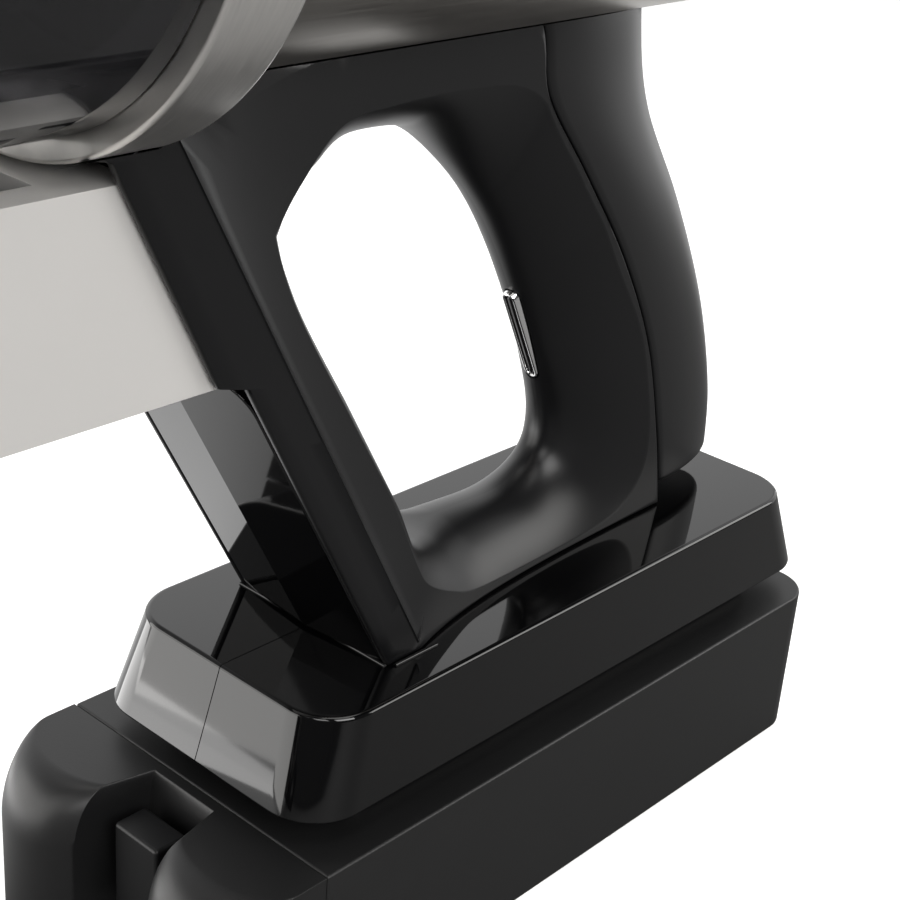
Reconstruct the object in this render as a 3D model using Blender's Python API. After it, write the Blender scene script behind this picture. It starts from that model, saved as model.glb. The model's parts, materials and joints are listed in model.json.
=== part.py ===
"""Cordless stick vacuum: handheld unit on its battery, wand and powered floor head.

Blender 4.5, run with: blender --background --python part.py
Row frame: +X runs forward to the floor head, +Y is the vacuum's left, +Z is up. The origin is the
centre of the battery's underside, on the floor. Sizes below are millimetres; meshes are made in metres.
"""

from math import asin, cos, degrees, exp, pi, radians, sin

import bmesh
import bpy
from mathutils import Vector

MM = 0.001
GAP = 0.3  # running gap between pieces that touch

# handheld body, turned about a level axis
BODY_Z = 211.6
BODY_R = 45.0
SHELL_WALL = 2.4
SHELL_X = (-58.0, 101.7)
MOTOR_R = 24.0
BUTTON_X = -30.0
BUTTON_R = 8.0
RING_X = (102.0, 115.3)
RING_R = 53.1
BIN_X = (115.6, 210.0)
BIN_R = 49.5
BIN_WALL = 2.2
INLET_X = (118.0, 132.0)  # opening from the duct up into the bin
DOOR_X = (210.3, 218.3)
DOOR_R = 51.0
HINGE_X = 214.5
KNUCKLE_R = 3.7
PIN_R = 1.5
AXLE_X = 200.0  # latch axle

# foot and battery
FOOT_TOP = 58.0
FOOT_LOW = 39.7
FOOT_TOP_SIZE = (146.0, 56.4)
FOOT_LOW_SIZE = (157.0, 61.4)
FOOT_CORNER = 11.0
FOOT_BEVEL = 1.0
BATTERY_TOP = 34.8
BATTERY_HALF = 35.3
BATTERY_BACK = -76.0
BATTERY_FRONT = 78.5
BATTERY_CORNER = 9.0
BATTERY_WALL = 2.4
CROWN = 12.0  # height of the front cap's rounding
LOBE_X = 88.5
LOBE_Y = 21.3
NOTCH_X = 82.0
NOTCH_HALF = 8.3
SOCKET_Z = 18.0
SOCKET_R = 6.0
CELL_R = 9.2
CELL_LENGTH = 65.0
CELL_PITCH = 18.9
CELL_Z = 12.6
CELLS = 7

# handle: strut, saddle, grip and web round the hand hole
HUB = (22.0, 110.0)  # point inside the hand hole, X and Z
STRUT_HALF = 20.2
GRIP_HALF = 12.0
TAPER = 24.0  # how fast the width falls from the strut to the grip
LEAN = 0.555  # forward lean of the strut, X per Z
STRUT_FOOT_X = 50.3
CREASE_BACK = 8.8  # crease line behind the strut's front edge
PANEL_TOP = 122.0
PANEL_DEEP = 3.2
PANEL_HALF = 18.3
PANEL_RIDGE = 2.0
CHEEK_STEP = 5.8
CHEEK_LEAN = 0.514
HANDLE_TOP = 178.0
# The rim is where the hole's roll meets the handle's side; the throat is the hole on the centre plane.
RIM = [(78.3, 143.0), (73.5, 130.5), (60.5, 109.0), (48.7, 89.5), (41.5, 74.5), (37.5, 69.0), (29.5, 64.2),
       (20.0, 61.0), (0.0, 59.8), (-20.0, 60.2), (-29.0, 62.6), (-34.2, 68.5), (-35.2, 76.0), (-33.0, 87.0),
       (-27.5, 102.0), (-17.0, 118.0), (-4.4, 137.2), (8.0, 152.0), (18.0, 158.0), (34.0, 159.4),
       (50.0, 159.3), (62.0, 158.0), (71.5, 151.0), (77.2, 145.6)]
THROAT = [(76.5, 142.0), (71.6, 130.5), (58.6, 109.0), (46.8, 89.5), (38.5, 76.5), (28.0, 71.6), (12.0, 70.4),
          (-1.5, 70.6), (-10.0, 75.6), (-11.2, 84.5), (-5.6, 99.7), (2.4, 116.1), (11.5, 130.5),
          (22.3, 142.0), (33.5, 150.0), (47.0, 153.5), (62.0, 153.4), (72.0, 150.2)]
# the seam between the frame and the rear cover, and the cover's back
SEAM = [(18.0, 178.0), (12.5, 166.5), (9.5, 155.0), (-3.5, 139.0), (-18.6, 119.5), (-30.9, 98.0),
        (-38.3, 75.0), (-42.0, 58.3)]
BACK = [(-27.0, 178.0), (-28.4, 163.0), (-33.5, 146.0), (-46.5, 126.5), (-57.5, 107.5), (-64.5, 92.0),
        (-69.5, 76.0), (-70.6, 63.0)]
COVER_LEVELS = (63.0, 66.0, 86.0, 108.0, 129.0, 147.0)

# trigger slot in the front of the grip
SLOT_MID = Vector((-3.9, 0.0, 103.0))
SLOT_UP = Vector((0.46, 0.0, 0.888)).normalized()
SLOT_OUT = Vector((SLOT_UP.z, 0.0, -SLOT_UP.x))
SLOT_SIZE = (22.8, 4.4)
BUTTON_SIZE = (20.8, 2.4)

# wand line, which slopes down from the duct's mouth to the neck's pivot
MOUTH = (150.0, 0.0, 140.5)
MOUTH_LEAN = 2.6  # half the forward lean of the mouth's face
DUCT_Z = (122.7, 157.6)
DUCT_HALF = 18.2
PIVOT_Z = 36.0
NECK_T = 705.0
TILT = asin((MOUTH[2] - PIVOT_Z) / NECK_T)
WAND_R = 16.9
WAND_WALL = 1.5
WAND_END = 600.0
SPIGOT = -15.0  # how far the wand reaches back into the duct
COLLAR_R = 21.5

# floor head, measured from the neck's pivot
HEAD_HALF = 113.0
CAP_OUT = 125.0
BRUSH_AT = (62.0, 27.0)
BRUSH_R = 22.5
CHAMBER_R = 26.5
HOUSING_R = 31.0
DRIVE_AT = (22.0, 21.0)
BRUSH_PULLEY_R = 12.0
DRIVE_PULLEY_R = 6.0
BELT_Y = (-121.2, -115.2)
BARREL_R = 20.0
WHEEL_R = 18.0
WHEEL_AT = (-10.0, 18.0)
ROLLER_R = 6.5
ROLLER_AT = (80.0, 6.5)

PIVOT = Vector((MOUTH[0] + NECK_T * cos(TILT), 0.0, PIVOT_Z))
WAND_DIR = Vector((cos(TILT), 0.0, -sin(TILT)))
X_DIR = Vector((1.0, 0.0, 0.0))
Y_DIR = Vector((0.0, 1.0, 0.0))
Z_DIR = Vector((0.0, 0.0, 1.0))

FINISHES = {
    "brushed_metal": ((0.36, 0.34, 0.32), 0.32, 1.0),
    "satin_silver": ((0.52, 0.51, 0.49), 0.38, 0.6),
    "satin_black": ((0.014, 0.014, 0.015), 0.42, 0.0),
    "gloss_black": ((0.006, 0.006, 0.007), 0.06, 0.0),
    "matte_black": ((0.020, 0.020, 0.021), 0.55, 0.0),
    "smoked_clear": ((0.03, 0.03, 0.035), 0.05, 0.0),
    "chrome": ((0.80, 0.80, 0.80), 0.08, 1.0),
    "steel": ((0.45, 0.45, 0.46), 0.30, 1.0),
    "rubber": ((0.018, 0.018, 0.018), 0.75, 0.0),
    "filter_felt": ((0.62, 0.60, 0.56), 0.90, 0.0),
    "circuit_board": ((0.02, 0.12, 0.06), 0.45, 0.0),
    "cell_wrap": ((0.08, 0.22, 0.30), 0.35, 0.0),
    "bristle": ((0.10, 0.10, 0.11), 0.80, 0.0),
}


# ---- materials and objects ----

def clear_scene():
    for obj in list(bpy.data.objects):
        bpy.data.objects.remove(obj)


def finish_material(name, finish):
    colour, roughness, metallic = FINISHES[finish]
    material = bpy.data.materials.new(name + "_" + finish)
    material.use_nodes = True
    shader = material.node_tree.nodes["Principled BSDF"]
    shader.inputs["Base Color"].default_value = (*colour, 1.0)
    shader.inputs["Roughness"].default_value = roughness
    shader.inputs["Metallic"].default_value = metallic
    material.diffuse_color = (*colour, 1.0)
    return material


def new_object(name, shape, pivot):
    """An object from world points in millimetres, with its origin at the pivot"""
    points, faces = shape
    build = bmesh.new()
    corners = [build.verts.new((Vector(p) - Vector(pivot)) * MM) for p in points]
    for face in faces:
        build.faces.new([corners[i] for i in face])
    bmesh.ops.recalc_face_normals(build, faces=build.faces)
    mesh = bpy.data.meshes.new(name)
    build.to_mesh(mesh)
    build.free()
    mesh.shade_smooth()
    mesh.set_sharp_from_angle(angle=radians(35))
    obj = bpy.data.objects.new(name, mesh)
    obj.location = Vector(pivot) * MM
    bpy.context.scene.collection.objects.link(obj)
    return obj


def solid(name, finish, shape, pivot=(0.0, 0.0, 0.0)):
    obj = new_object(name, shape, pivot)
    obj.data.materials.append(finish_material(name, finish))
    return obj


def boolean(target, shape, operation):
    """Cuts a shape from the target, or joins it on, with a hidden working object"""
    tool = new_object("work_" + target.name, shape, (0.0, 0.0, 0.0))
    tool.hide_render = True
    tool.display_type = "WIRE"
    change = target.modifiers.new(operation.lower(), "BOOLEAN")
    change.operation = operation
    change.solver = "EXACT"
    change.object = tool


def cut(target, *shapes):
    for shape in shapes:
        boolean(target, shape, "DIFFERENCE")


def join(target, *shapes):
    for shape in shapes:
        boolean(target, shape, "UNION")


# ---- shapes, each a list of points and a list of faces ----

def loft(loops, round_trip=False):
    """Skins equal loops of points in order, capping the two ends unless it runs round"""
    size = len(loops[0])
    points = [p for loop in loops for p in loop]
    faces = []
    for k in range(len(loops) if round_trip else len(loops) - 1):
        low, high = k * size, ((k + 1) % len(loops)) * size
        for i in range(size):
            j = (i + 1) % size
            faces.append((low + i, low + j, high + j, high + i))
    if not round_trip:
        faces.append(tuple(range(size)))
        faces.append(tuple(range(len(points) - size, len(points))))
    return points, faces


def turned(start, direction, profile, segments=32):
    """A profile of (distance along, radius) turned about an axis; a closed ring if no radius is 0"""
    start, direction = Vector(start), Vector(direction).normalized()
    side = Y_DIR if abs(direction.y) < 0.9 else Z_DIR
    side = (side - direction * side.dot(direction)).normalized()
    up = direction.cross(side)
    points, rows = [], []
    for along, radius in profile:
        first = len(points)
        count = segments if radius > 0 else 1
        for k in range(count):
            turn = 2 * pi * k / segments
            points.append(start + direction * along + (side * cos(turn) + up * sin(turn)) * radius)
        rows.append([first + (k % count) for k in range(segments)])
    closed = all(radius > 0 for _, radius in profile)
    faces = []
    for a in range(len(rows) if closed else len(rows) - 1):
        row, following = rows[a], rows[(a + 1) % len(rows)]
        for k in range(segments):
            n = (k + 1) % segments
            corners = [row[k], row[n], following[n], following[k]]
            faces.append(tuple(dict.fromkeys(corners)))
    return points, faces


def rod(start, direction, near, far, radius, segments=24):
    return turned(start, direction, [(near, 0), (near, radius), (far, radius), (far, 0)], segments)


def tube(start, direction, near, far, outer, inner, segments=32):
    profile = [(near, outer), (far, outer), (far, inner), (near, inner)]
    return turned(start, direction, profile, segments)


def side_plate(outline, near, far):
    """An outline of (X, Z) run along Y"""
    return loft([[(x, y, z) for x, z in outline] for y in (near, far)])


def flat_plate(outline, low, high):
    """An outline of (X, Y) run up Z"""
    return loft([[(x, y, z) for x, y in outline] for z in (low, high)])


def box(x, y, z):
    return flat_plate([(x[0], y[0]), (x[1], y[0]), (x[1], y[1]), (x[0], y[1])], *z)


def arc(centre, radius, start, end, steps):
    """Points of an arc, angles in degrees"""
    turns = [radians(start + (end - start) * k / steps) for k in range(steps + 1)]
    return [(centre[0] + radius * cos(t), centre[1] + radius * sin(t)) for t in turns]


def rounded(x, y, radius, steps=4):
    """A rectangle with round corners"""
    low, high = (x[0] + radius, y[0] + radius), (x[1] - radius, y[1] - radius)
    corners = [(high[0], high[1], 0), (low[0], high[1], 90), (low[0], low[1], 180), (high[0], low[1], 270)]
    return [p for cx, cy, turn in corners for p in arc((cx, cy), radius, turn, turn + 90, steps)]


def on_wand(along, across=0.0, above=0.0):
    """A point given along the wand line, across it and square above it"""
    square = Vector((sin(TILT), 0.0, cos(TILT)))
    return Vector(MOUTH) + WAND_DIR * along + Y_DIR * across + square * above


def wand_block(along, across, above):
    corners = [(across[0], above[0]), (across[1], above[0]), (across[1], above[1]), (across[0], above[1])]
    return loft([[on_wand(t, y, z) for y, z in corners] for t in along])


def head_point(place):
    return (PIVOT.x + place[0], place[1])


def head_outline(places):
    return [head_point(p) for p in places]


# ---- handle ----

def front_x(z):
    return STRUT_FOOT_X + LEAN * (z - FOOT_TOP)


def half_width(x, z):
    """The handle is widest at the strut's crease and narrows towards the grip"""
    behind = max(0.0, front_x(z) - CREASE_BACK - x)
    return GRIP_HALF + (STRUT_HALF - GRIP_HALF) * exp(-behind / TAPER)


def crossing(points, direction, closed=True):
    """Distance from the hub to the outline along a direction, and whether it is met"""
    count = len(points) if closed else len(points) - 1
    best = None
    for k in range(count):
        a = Vector(points[k]) - Vector(HUB)
        edge = Vector(points[(k + 1) % len(points)]) - Vector(HUB) - a
        span = direction.cross(edge)
        if abs(span) < 1e-9:
            continue
        reach, along = a.cross(edge) / span, a.cross(direction) / span
        if reach > 0 and -1e-6 <= along <= 1 + 1e-6:
            best = reach if best is None else min(best, reach)
    return best


def smooth_loop(points, steps):
    """A closed Catmull-Rom curve through the points"""
    result = []
    for k, here in enumerate(points):
        before, after, next_after = (points[(k + n) % len(points)] for n in (-1, 1, 2))
        for s in range(steps):
            t = s / steps
            result.append(tuple(
                0.5 * (2 * b + (c - a) * t + (2 * a - 5 * b + 4 * c - d) * t ** 2
                       + (3 * b - a - 3 * c + d) * t ** 3)
                for a, b, c, d in zip(before, here, after, next_after)))
    return result


def handle_outline():
    """Outside of the handle frame: slab line, strut front with its cheek step, top and seam"""
    step = (front_x(PANEL_TOP) + CHEEK_STEP, PANEL_TOP + 1.6)
    top = (step[0] + CHEEK_LEAN * (HANDLE_TOP - step[1]), HANDLE_TOP)
    front = [(front_x(FOOT_TOP + GAP), FOOT_TOP + GAP), (front_x(PANEL_TOP), PANEL_TOP), step, top]
    return front + SEAM


def handle_sections():
    outline = handle_outline()
    rim, throat = smooth_loop(RIM, 5), smooth_loop(THROAT, 5)
    crease = [(front_x(z) - CREASE_BACK, z) for z in (FOOT_TOP - 5.0, 185.0)]
    turns = [2 * pi * k / 40 for k in range(40)]
    for x, z in outline + [(front_x(FOOT_TOP) - CREASE_BACK, FOOT_TOP + GAP)]:
        ray = Vector((x, z)) - Vector(HUB)
        turn = Vector((1.0, 0.0)).angle_signed(ray) * -1.0
        turns.append(turn % (2 * pi))
    turns = sorted(turns)
    kept = [t for k, t in enumerate(turns) if k == 0 or t - turns[k - 1] > 0.012]
    return [handle_section(Vector((cos(t), sin(t))), outline, rim, throat, crease) for t in kept]


def handle_section(direction, outline, rim, throat, crease):
    """One closed section of the handle, from the throat over the roll to the outside and back"""
    outer = crossing(outline, direction)
    inner = min(crossing(rim, direction), outer - 1.0)
    centre = min(crossing(throat, direction), inner - 0.6)
    fold = crossing(crease, direction, closed=False)
    middle = fold if fold and inner + 0.5 < fold < outer - 0.5 else inner + 0.5 * (outer - inner)

    def at(reach, share=1.0):
        x, z = HUB[0] + direction.x * reach, HUB[1] + direction.y * reach
        return x, half_width(x, z) * share, z

    roll = [at(centre, 0.0)]
    for k in (1, 2, 3):
        turn = radians(90 * k / 4)
        roll.append(at(centre + (inner - centre) * (1 - cos(turn)), sin(turn)))
    side = roll + [at(inner), at(middle), at(outer)]
    mirrored = [(x, -y, z) for x, y, z in reversed(side[1:])]
    return side + mirrored


def body_clearance():
    return rod((0, 0, BODY_Z), X_DIR, -80, 120, BODY_R + GAP, 48)


def make_handle_frame():
    frame = solid("handle_frame", "satin_black", loft(handle_sections(), round_trip=True))
    lip = rounded((-61.0, -30.0), (-11.5, 11.5), 5.0)
    join(frame, flat_plate(lip, FOOT_TOP + GAP, FOOT_TOP + 3.6))
    recess = [(front_x(z) - PANEL_DEEP + dx, z) for z, dx in ((50.0, 0), (50.0, 40), (170.0, 60), (170.0, 0))]
    cut(frame, side_plate(recess, -18.6, 18.6), body_clearance(),
        rod((0, 0, BODY_Z), X_DIR, SHELL_X[1], 140, RING_R + GAP, 48), slot_shape(GAP, 1.2))


def make_rear_cover():
    """Rounded back half of the grip, split from the frame along a fine seam"""
    loops = []
    for z in list(COVER_LEVELS) + [z for _, z in SEAM[:-1]]:
        seam = outline_x(SEAM, z) - GAP
        back = outline_x(BACK, z)
        half = half_width(seam, z) - (1.5 if z == COVER_LEVELS[0] else 0.0)
        turns = [radians(180 * k / 10) for k in range(11)]
        loops.append([(seam - (seam - back) * sin(t), half * cos(t), z) for t in turns])
    loops.sort(key=lambda loop: loop[0][2])
    cover = solid("grip_rear_cover", "satin_black", loft(loops))
    cut(cover, body_clearance())


def outline_x(points, z):
    """X of a falling outline at a height"""
    for (x_high, z_high), (x_low, z_low) in zip(points, points[1:]):
        if z_low <= z <= z_high:
            return x_low + (x_high - x_low) * (z - z_low) / (z_high - z_low)
    return points[-1][0]


def make_strut_panel():
    """Glossy lower front of the strut, with a slight ridge down its middle"""
    section = [(GAP - PANEL_DEEP, -PANEL_HALF), (0.0, -PANEL_HALF), (PANEL_RIDGE, 0.0), (0.0, PANEL_HALF),
               (GAP - PANEL_DEEP, PANEL_HALF)]
    levels = (FOOT_TOP + GAP, PANEL_TOP - GAP)
    loops = [[(front_x(z) + proud, y, z) for proud, y in section] for z in levels]
    solid("strut_front_panel", "gloss_black", loft(loops))


def slot_shape(grow, deep, raise_by=4.0, size=SLOT_SIZE):
    """A round-ended bar set into the front of the grip"""
    length, width = size
    radius = width / 2 + grow
    straight = length / 2 - width / 2
    ends = arc((0, straight), radius, 0, 180, 6) + arc((0, -straight), radius, 180, 360, 6)
    return loft([[SLOT_MID + SLOT_OUT * depth + Y_DIR * across + SLOT_UP * up for across, up in ends]
                 for depth in (-deep - 3.0, raise_by)])


def make_trigger():
    bezel = solid("trigger_bezel", "chrome", slot_shape(0.0, 0.9, 0.6), SLOT_MID)
    cut(bezel, slot_shape(0.0, 4.0, 4.0, BUTTON_SIZE))
    solid("trigger_button", "satin_black", slot_shape(-GAP, -1.0, 0.5, BUTTON_SIZE), SLOT_MID)


# ---- foot and battery ----

def foot_loop(size, z, inset=0.0):
    half_x, half_y = size[0] / 2 - inset, size[1] / 2 - inset
    return [(x, y, z) for x, y in rounded((-half_x, half_x), (-half_y, half_y), FOOT_CORNER, 5)]


def make_foot():
    """Two moulded halves that meet on the centre plane"""
    loops = [foot_loop(FOOT_LOW_SIZE, FOOT_LOW), foot_loop(FOOT_TOP_SIZE, FOOT_TOP - FOOT_BEVEL),
             foot_loop(FOOT_TOP_SIZE, FOOT_TOP, FOOT_BEVEL)]
    for name, sign in (("foot_shell_left", 1.0), ("foot_shell_right", -1.0)):
        half = solid(name, "gloss_black", loft(loops))
        other = sorted((-sign * 40.0, sign * 0.1))
        cut(half, box((-90, 90), other, (30, 70)), box((-62, 62), (-25, 25), (30, FOOT_TOP - 4)))
    solid("control_board", "circuit_board", box((-45, 45), (-20, 20), (44, 45.6)))
    solid("battery_rail", "matte_black",
          flat_plate(rounded((-66, 66), (-26, 26), 8), BATTERY_TOP + GAP, FOOT_LOW - GAP))


def make_battery():
    """Case open below, its base cover, and the front cap with two rounded lobes and a notch between"""
    pivot = (0.0, 0.0, BATTERY_TOP)
    corner_x, corner_y = BATTERY_BACK + BATTERY_CORNER, BATTERY_HALF - BATTERY_CORNER
    plan = [(BATTERY_FRONT, -BATTERY_HALF), (BATTERY_FRONT, BATTERY_HALF)]
    plan += arc((corner_x, corner_y), BATTERY_CORNER, 90, 180, 5)
    plan += arc((corner_x, -corner_y), BATTERY_CORNER, 180, 270, 5)
    case = solid("battery_case", "matte_black", flat_plate(plan, 0.0, BATTERY_TOP), pivot)
    socket_at = (BATTERY_BACK, 0.0, SOCKET_Z)
    cut(case, battery_hollow(0.0, -5.0, BATTERY_TOP - BATTERY_WALL),
        rod(socket_at, X_DIR, -5, 2.2 + GAP, SOCKET_R + GAP))
    solid("battery_base_cover", "matte_black", battery_hollow(GAP, 0.0, 2.2), pivot)
    make_battery_cap(pivot)
    make_cells(pivot)
    solid("battery_board", "circuit_board", box((-60, 60), (-26, 26), (24.5, 26.1)), pivot)
    socket = solid("charge_socket", "satin_black", rod(socket_at, X_DIR, -0.6, 2.2, SOCKET_R), pivot)
    cut(socket, tube(socket_at, X_DIR, -2, 1.4, 4.0, 1.4, 20))


def battery_hollow(inset, low, high):
    """The space inside the case's walls"""
    half = BATTERY_HALF - BATTERY_WALL - inset
    back, front = BATTERY_BACK + BATTERY_WALL + 0.2 + inset, BATTERY_FRONT - BATTERY_WALL - inset
    return flat_plate(rounded((back, front), (-half, half), 3), low, high)


def make_battery_cap(pivot):
    radius = BATTERY_HALF - LOBE_Y
    base = BATTERY_FRONT + GAP
    lobes = arc((LOBE_X, -LOBE_Y), radius, -90, 50, 7) + [(NOTCH_X, -NOTCH_HALF)]
    lobes += [(NOTCH_X, NOTCH_HALF)] + arc((LOBE_X, LOBE_Y), radius, -50, 90, 7)
    plan = [(base, BATTERY_HALF), (base, -BATTERY_HALF)] + lobes
    loops = [[(x, y, z) for x, y in plan] for z in (0.0, BATTERY_TOP - CROWN)]
    for turn in (radians(30), radians(60), radians(90)):
        pull = 0.4 * (1 - cos(turn))
        z = BATTERY_TOP - CROWN * (1 - sin(turn))
        loops.append([(x - pull * (x - base), y, z) for x, y in plan])
    solid("battery_front_cap", "matte_black", loft(loops), pivot)
    solid("battery_release_button", "satin_black",
          box((NOTCH_X + 2.8, NOTCH_X + 10), (-6.0, 6.0), (8, 30)), (NOTCH_X, 0.0, 19.0))


def make_cells(pivot):
    half = CELL_LENGTH / 2
    profile = [(-half, 0), (-half, CELL_R), (half, CELL_R), (half, 3), (half + 0.4, 3), (half + 0.4, 0)]
    for k in range(CELLS):
        x = (k - (CELLS - 1) / 2) * CELL_PITCH
        solid("battery_cell_%d" % (k + 1), "cell_wrap", turned((x, 0, CELL_Z), Y_DIR, profile, 16), pivot)


# ---- handheld body ----

def about_body(profile, segments=44):
    return turned((0, 0, BODY_Z), X_DIR, profile, segments)


def make_motor_shell():
    solid("motor_shell", "brushed_metal", tube((0, 0, BODY_Z), X_DIR, *SHELL_X, BODY_R, BODY_R - SHELL_WALL, 44))
    low, high = RING_X
    ring = [(low, RING_R - 1), (low + 1, RING_R), (high - 1, RING_R), (high, RING_R - 1), (high, 40.0), (low, 40.0)]
    solid("front_ring", "brushed_metal", about_body(ring))
    inner = BODY_R - SHELL_WALL - GAP
    solid("motor_mount", "rubber", tube((0, 0, BODY_Z), X_DIR, 20, 27, inner, MOTOR_R + GAP, 32))
    can = [(-8, 0), (-8, MOTOR_R - 4), (-4, MOTOR_R), (46, MOTOR_R), (50, MOTOR_R - 4), (50, 0)]
    motor = solid("fan_motor", "steel", about_body(can, 24))
    cut(motor, rod((0, 0, BODY_Z), X_DIR, 40, 60, 3 + GAP, 16))
    pivot = (60.0, 0.0, BODY_Z)
    solid("motor_shaft", "steel", rod((0, 0, BODY_Z), X_DIR, 41, 74, 3.0, 16), pivot)
    blades = []
    for k in range(9):
        for reach, turn in ((16, 0), (37, 14), (37, 20), (16, 12)):
            angle = radians(40 * k + turn)
            blades.append((reach * cos(angle), reach * sin(angle)))
    fan = solid("impeller", "satin_silver",
                loft([[(x, y, BODY_Z + z) for y, z in blades] for x in (56.0, 70.0)]), pivot)
    join(fan, rod((0, 0, BODY_Z), X_DIR, 54, 57, 38.0, 32))
    cut(fan, rod((0, 0, BODY_Z), X_DIR, 50, 80, 3 + GAP, 16))
    solid("pre_filter", "filter_felt", tube((0, 0, BODY_Z), X_DIR, 82, 98, inner, 6.0, 28))


def make_exhaust():
    """Rear cover and its filter pull off together"""
    pivot = (SHELL_X[0], 0.0, BODY_Z)
    back = SHELL_X[0] - GAP
    profile = [(back - 16, 0), (back - 16, 22), (back - 15, 40), (back - 10, 45), (back, 45),
               (back, 42.4), (back - 8.6, 42.4), (back - 12.6, 38), (back - 13.5, 21), (back - 13.5, 0)]
    cover = solid("exhaust_cover", "satin_black", about_body(profile), pivot)
    for k in range(8):
        angle = radians(45 * k)
        out, side = Vector((0, cos(angle), sin(angle))), Vector((0, -sin(angle), cos(angle)))
        centre = Vector((0, 0, BODY_Z))
        corners = [(26, -1.5), (37, -1.5), (37, 1.5), (26, 1.5)]
        cut(cover, loft([[centre + X_DIR * x + out * a + side * b for a, b in corners]
                         for x in (back - 20, back - 10)]))
    solid("exhaust_filter", "filter_felt", tube((0, 0, BODY_Z), X_DIR, -69, -28, 34, 24, 24), pivot)
    top = BODY_Z + BODY_R
    axis = (BUTTON_X, 0.0, 0.0)
    solid("power_button", "satin_black", rod(axis, Z_DIR, top - 1.4, top + 1.6, BUTTON_R, 28), (BUTTON_X, 0, top))
    cut(bpy.data.objects["motor_shell"], rod(axis, Z_DIR, top - 10, top + 10, BUTTON_R + GAP, 28))


# ---- dust bin ----

def make_bin():
    pivot = (BIN_X[0], 0.0, BODY_Z)
    bin_wall = solid("dust_bin", "smoked_clear",
                     tube((0, 0, BODY_Z), X_DIR, *BIN_X, BIN_R, BIN_R - BIN_WALL, 48), pivot)
    cut(bin_wall, box(INLET_X, (-11, 11), (150, 180)))
    shroud = [(117, 33), (176, 33), (176, 35), (178, 35), (178, 31), (117, 31)]
    solid("cyclone_shroud", "steel", about_body(shroud, 24), pivot)
    cone = [(117, 27), (150, 27), (196, 12), (196, 10), (150, 25), (117, 25)]
    solid("cyclone_cone", "matte_black", about_body(cone, 20), pivot)
    make_bin_door(bin_wall, pivot)
    make_latch(bin_wall)


def make_bin_door(bin_wall, pivot):
    """Front door on a knuckle hinge under the bin"""
    base_z = BODY_Z - DOOR_R
    hinge = (HINGE_X, 0.0, base_z - 3.0)
    back, face = DOOR_X
    lid = [(back, 0), (back, DOOR_R), (face - 2, DOOR_R), (face, DOOR_R - 2), (face, 40), (face - 2, 36),
           (face - 2, 0)]
    door = solid("bin_door", "smoked_clear", about_body(lid), hinge)
    knuckle = arc((HINGE_X, hinge[2]), KNUCKLE_R, 180, 360, 8)
    join(door, side_plate(knuckle + [(HINGE_X + KNUCKLE_R, base_z + 6), (HINGE_X - KNUCKLE_R, base_z + 6)], -8, 8))
    cut(door, rod(hinge, Y_DIR, -12, 12, PIN_R + GAP, 16))
    seal = [(207.6, 47.0), (210.0, 47.0), (210.0, 44), (207.6, 44)]
    solid("bin_door_seal", "rubber", about_body(seal, 28), hinge)
    solid("bin_hinge_pin", "steel", rod(hinge, Y_DIR, -15.5, 15.5, PIN_R, 16), pivot)
    ear = arc((HINGE_X, hinge[2]), KNUCKLE_R, -90, 90, 6)
    ear += [(206, base_z + 4.5), (200, base_z + 4.5), (200, base_z - 1)]
    for y in ((-15, -8.3), (8.3, 15)):
        join(bin_wall, side_plate(ear, *y))
    cut(bin_wall, rod(hinge, Y_DIR, -20, 20, PIN_R + GAP, 16),
        tube((0, 0, BODY_Z), X_DIR, back - 0.2, face + 4, DOOR_R + GAP, 30, 48))


def make_latch(bin_wall):
    """Rocker on top of the bin; its rear is pressed to free the door"""
    axle = (AXLE_X, 0.0, BODY_Z + BIN_R + 2.6)
    top = axle[2]
    for y in ((-9.8, -7.6), (7.6, 9.8)):
        join(bin_wall, box((AXLE_X - 4, AXLE_X + 4), y, (top - 8, top + 1.6)))
    outline = [(188, top - 0.4), (214, top - 0.4), (217, top + 0.6), (214, top + 2.2), (190, top + 2.2),
               (188, top + 1.4)]
    solid("bin_latch", "satin_black", side_plate(outline, -7.2, 7.2), axle)


# ---- duct, wand ----

def make_duct():
    low, high = DUCT_Z
    back = front_x(low) - PANEL_DEEP + GAP
    outline = [(back, low), (MOUTH[0] - MOUTH_LEAN, low), (MOUTH[0] + MOUTH_LEAN, high),
               (back + LEAN * (high - low), high)]
    duct = solid("inlet_duct", "satin_silver", side_plate(outline, -DUCT_HALF, DUCT_HALF))
    bore = rod(MOUTH, WAND_DIR, -34, 6, WAND_R + GAP, 28)
    cut(duct, bore, box(INLET_X, (-12, 12), (140, 170)))


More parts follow.
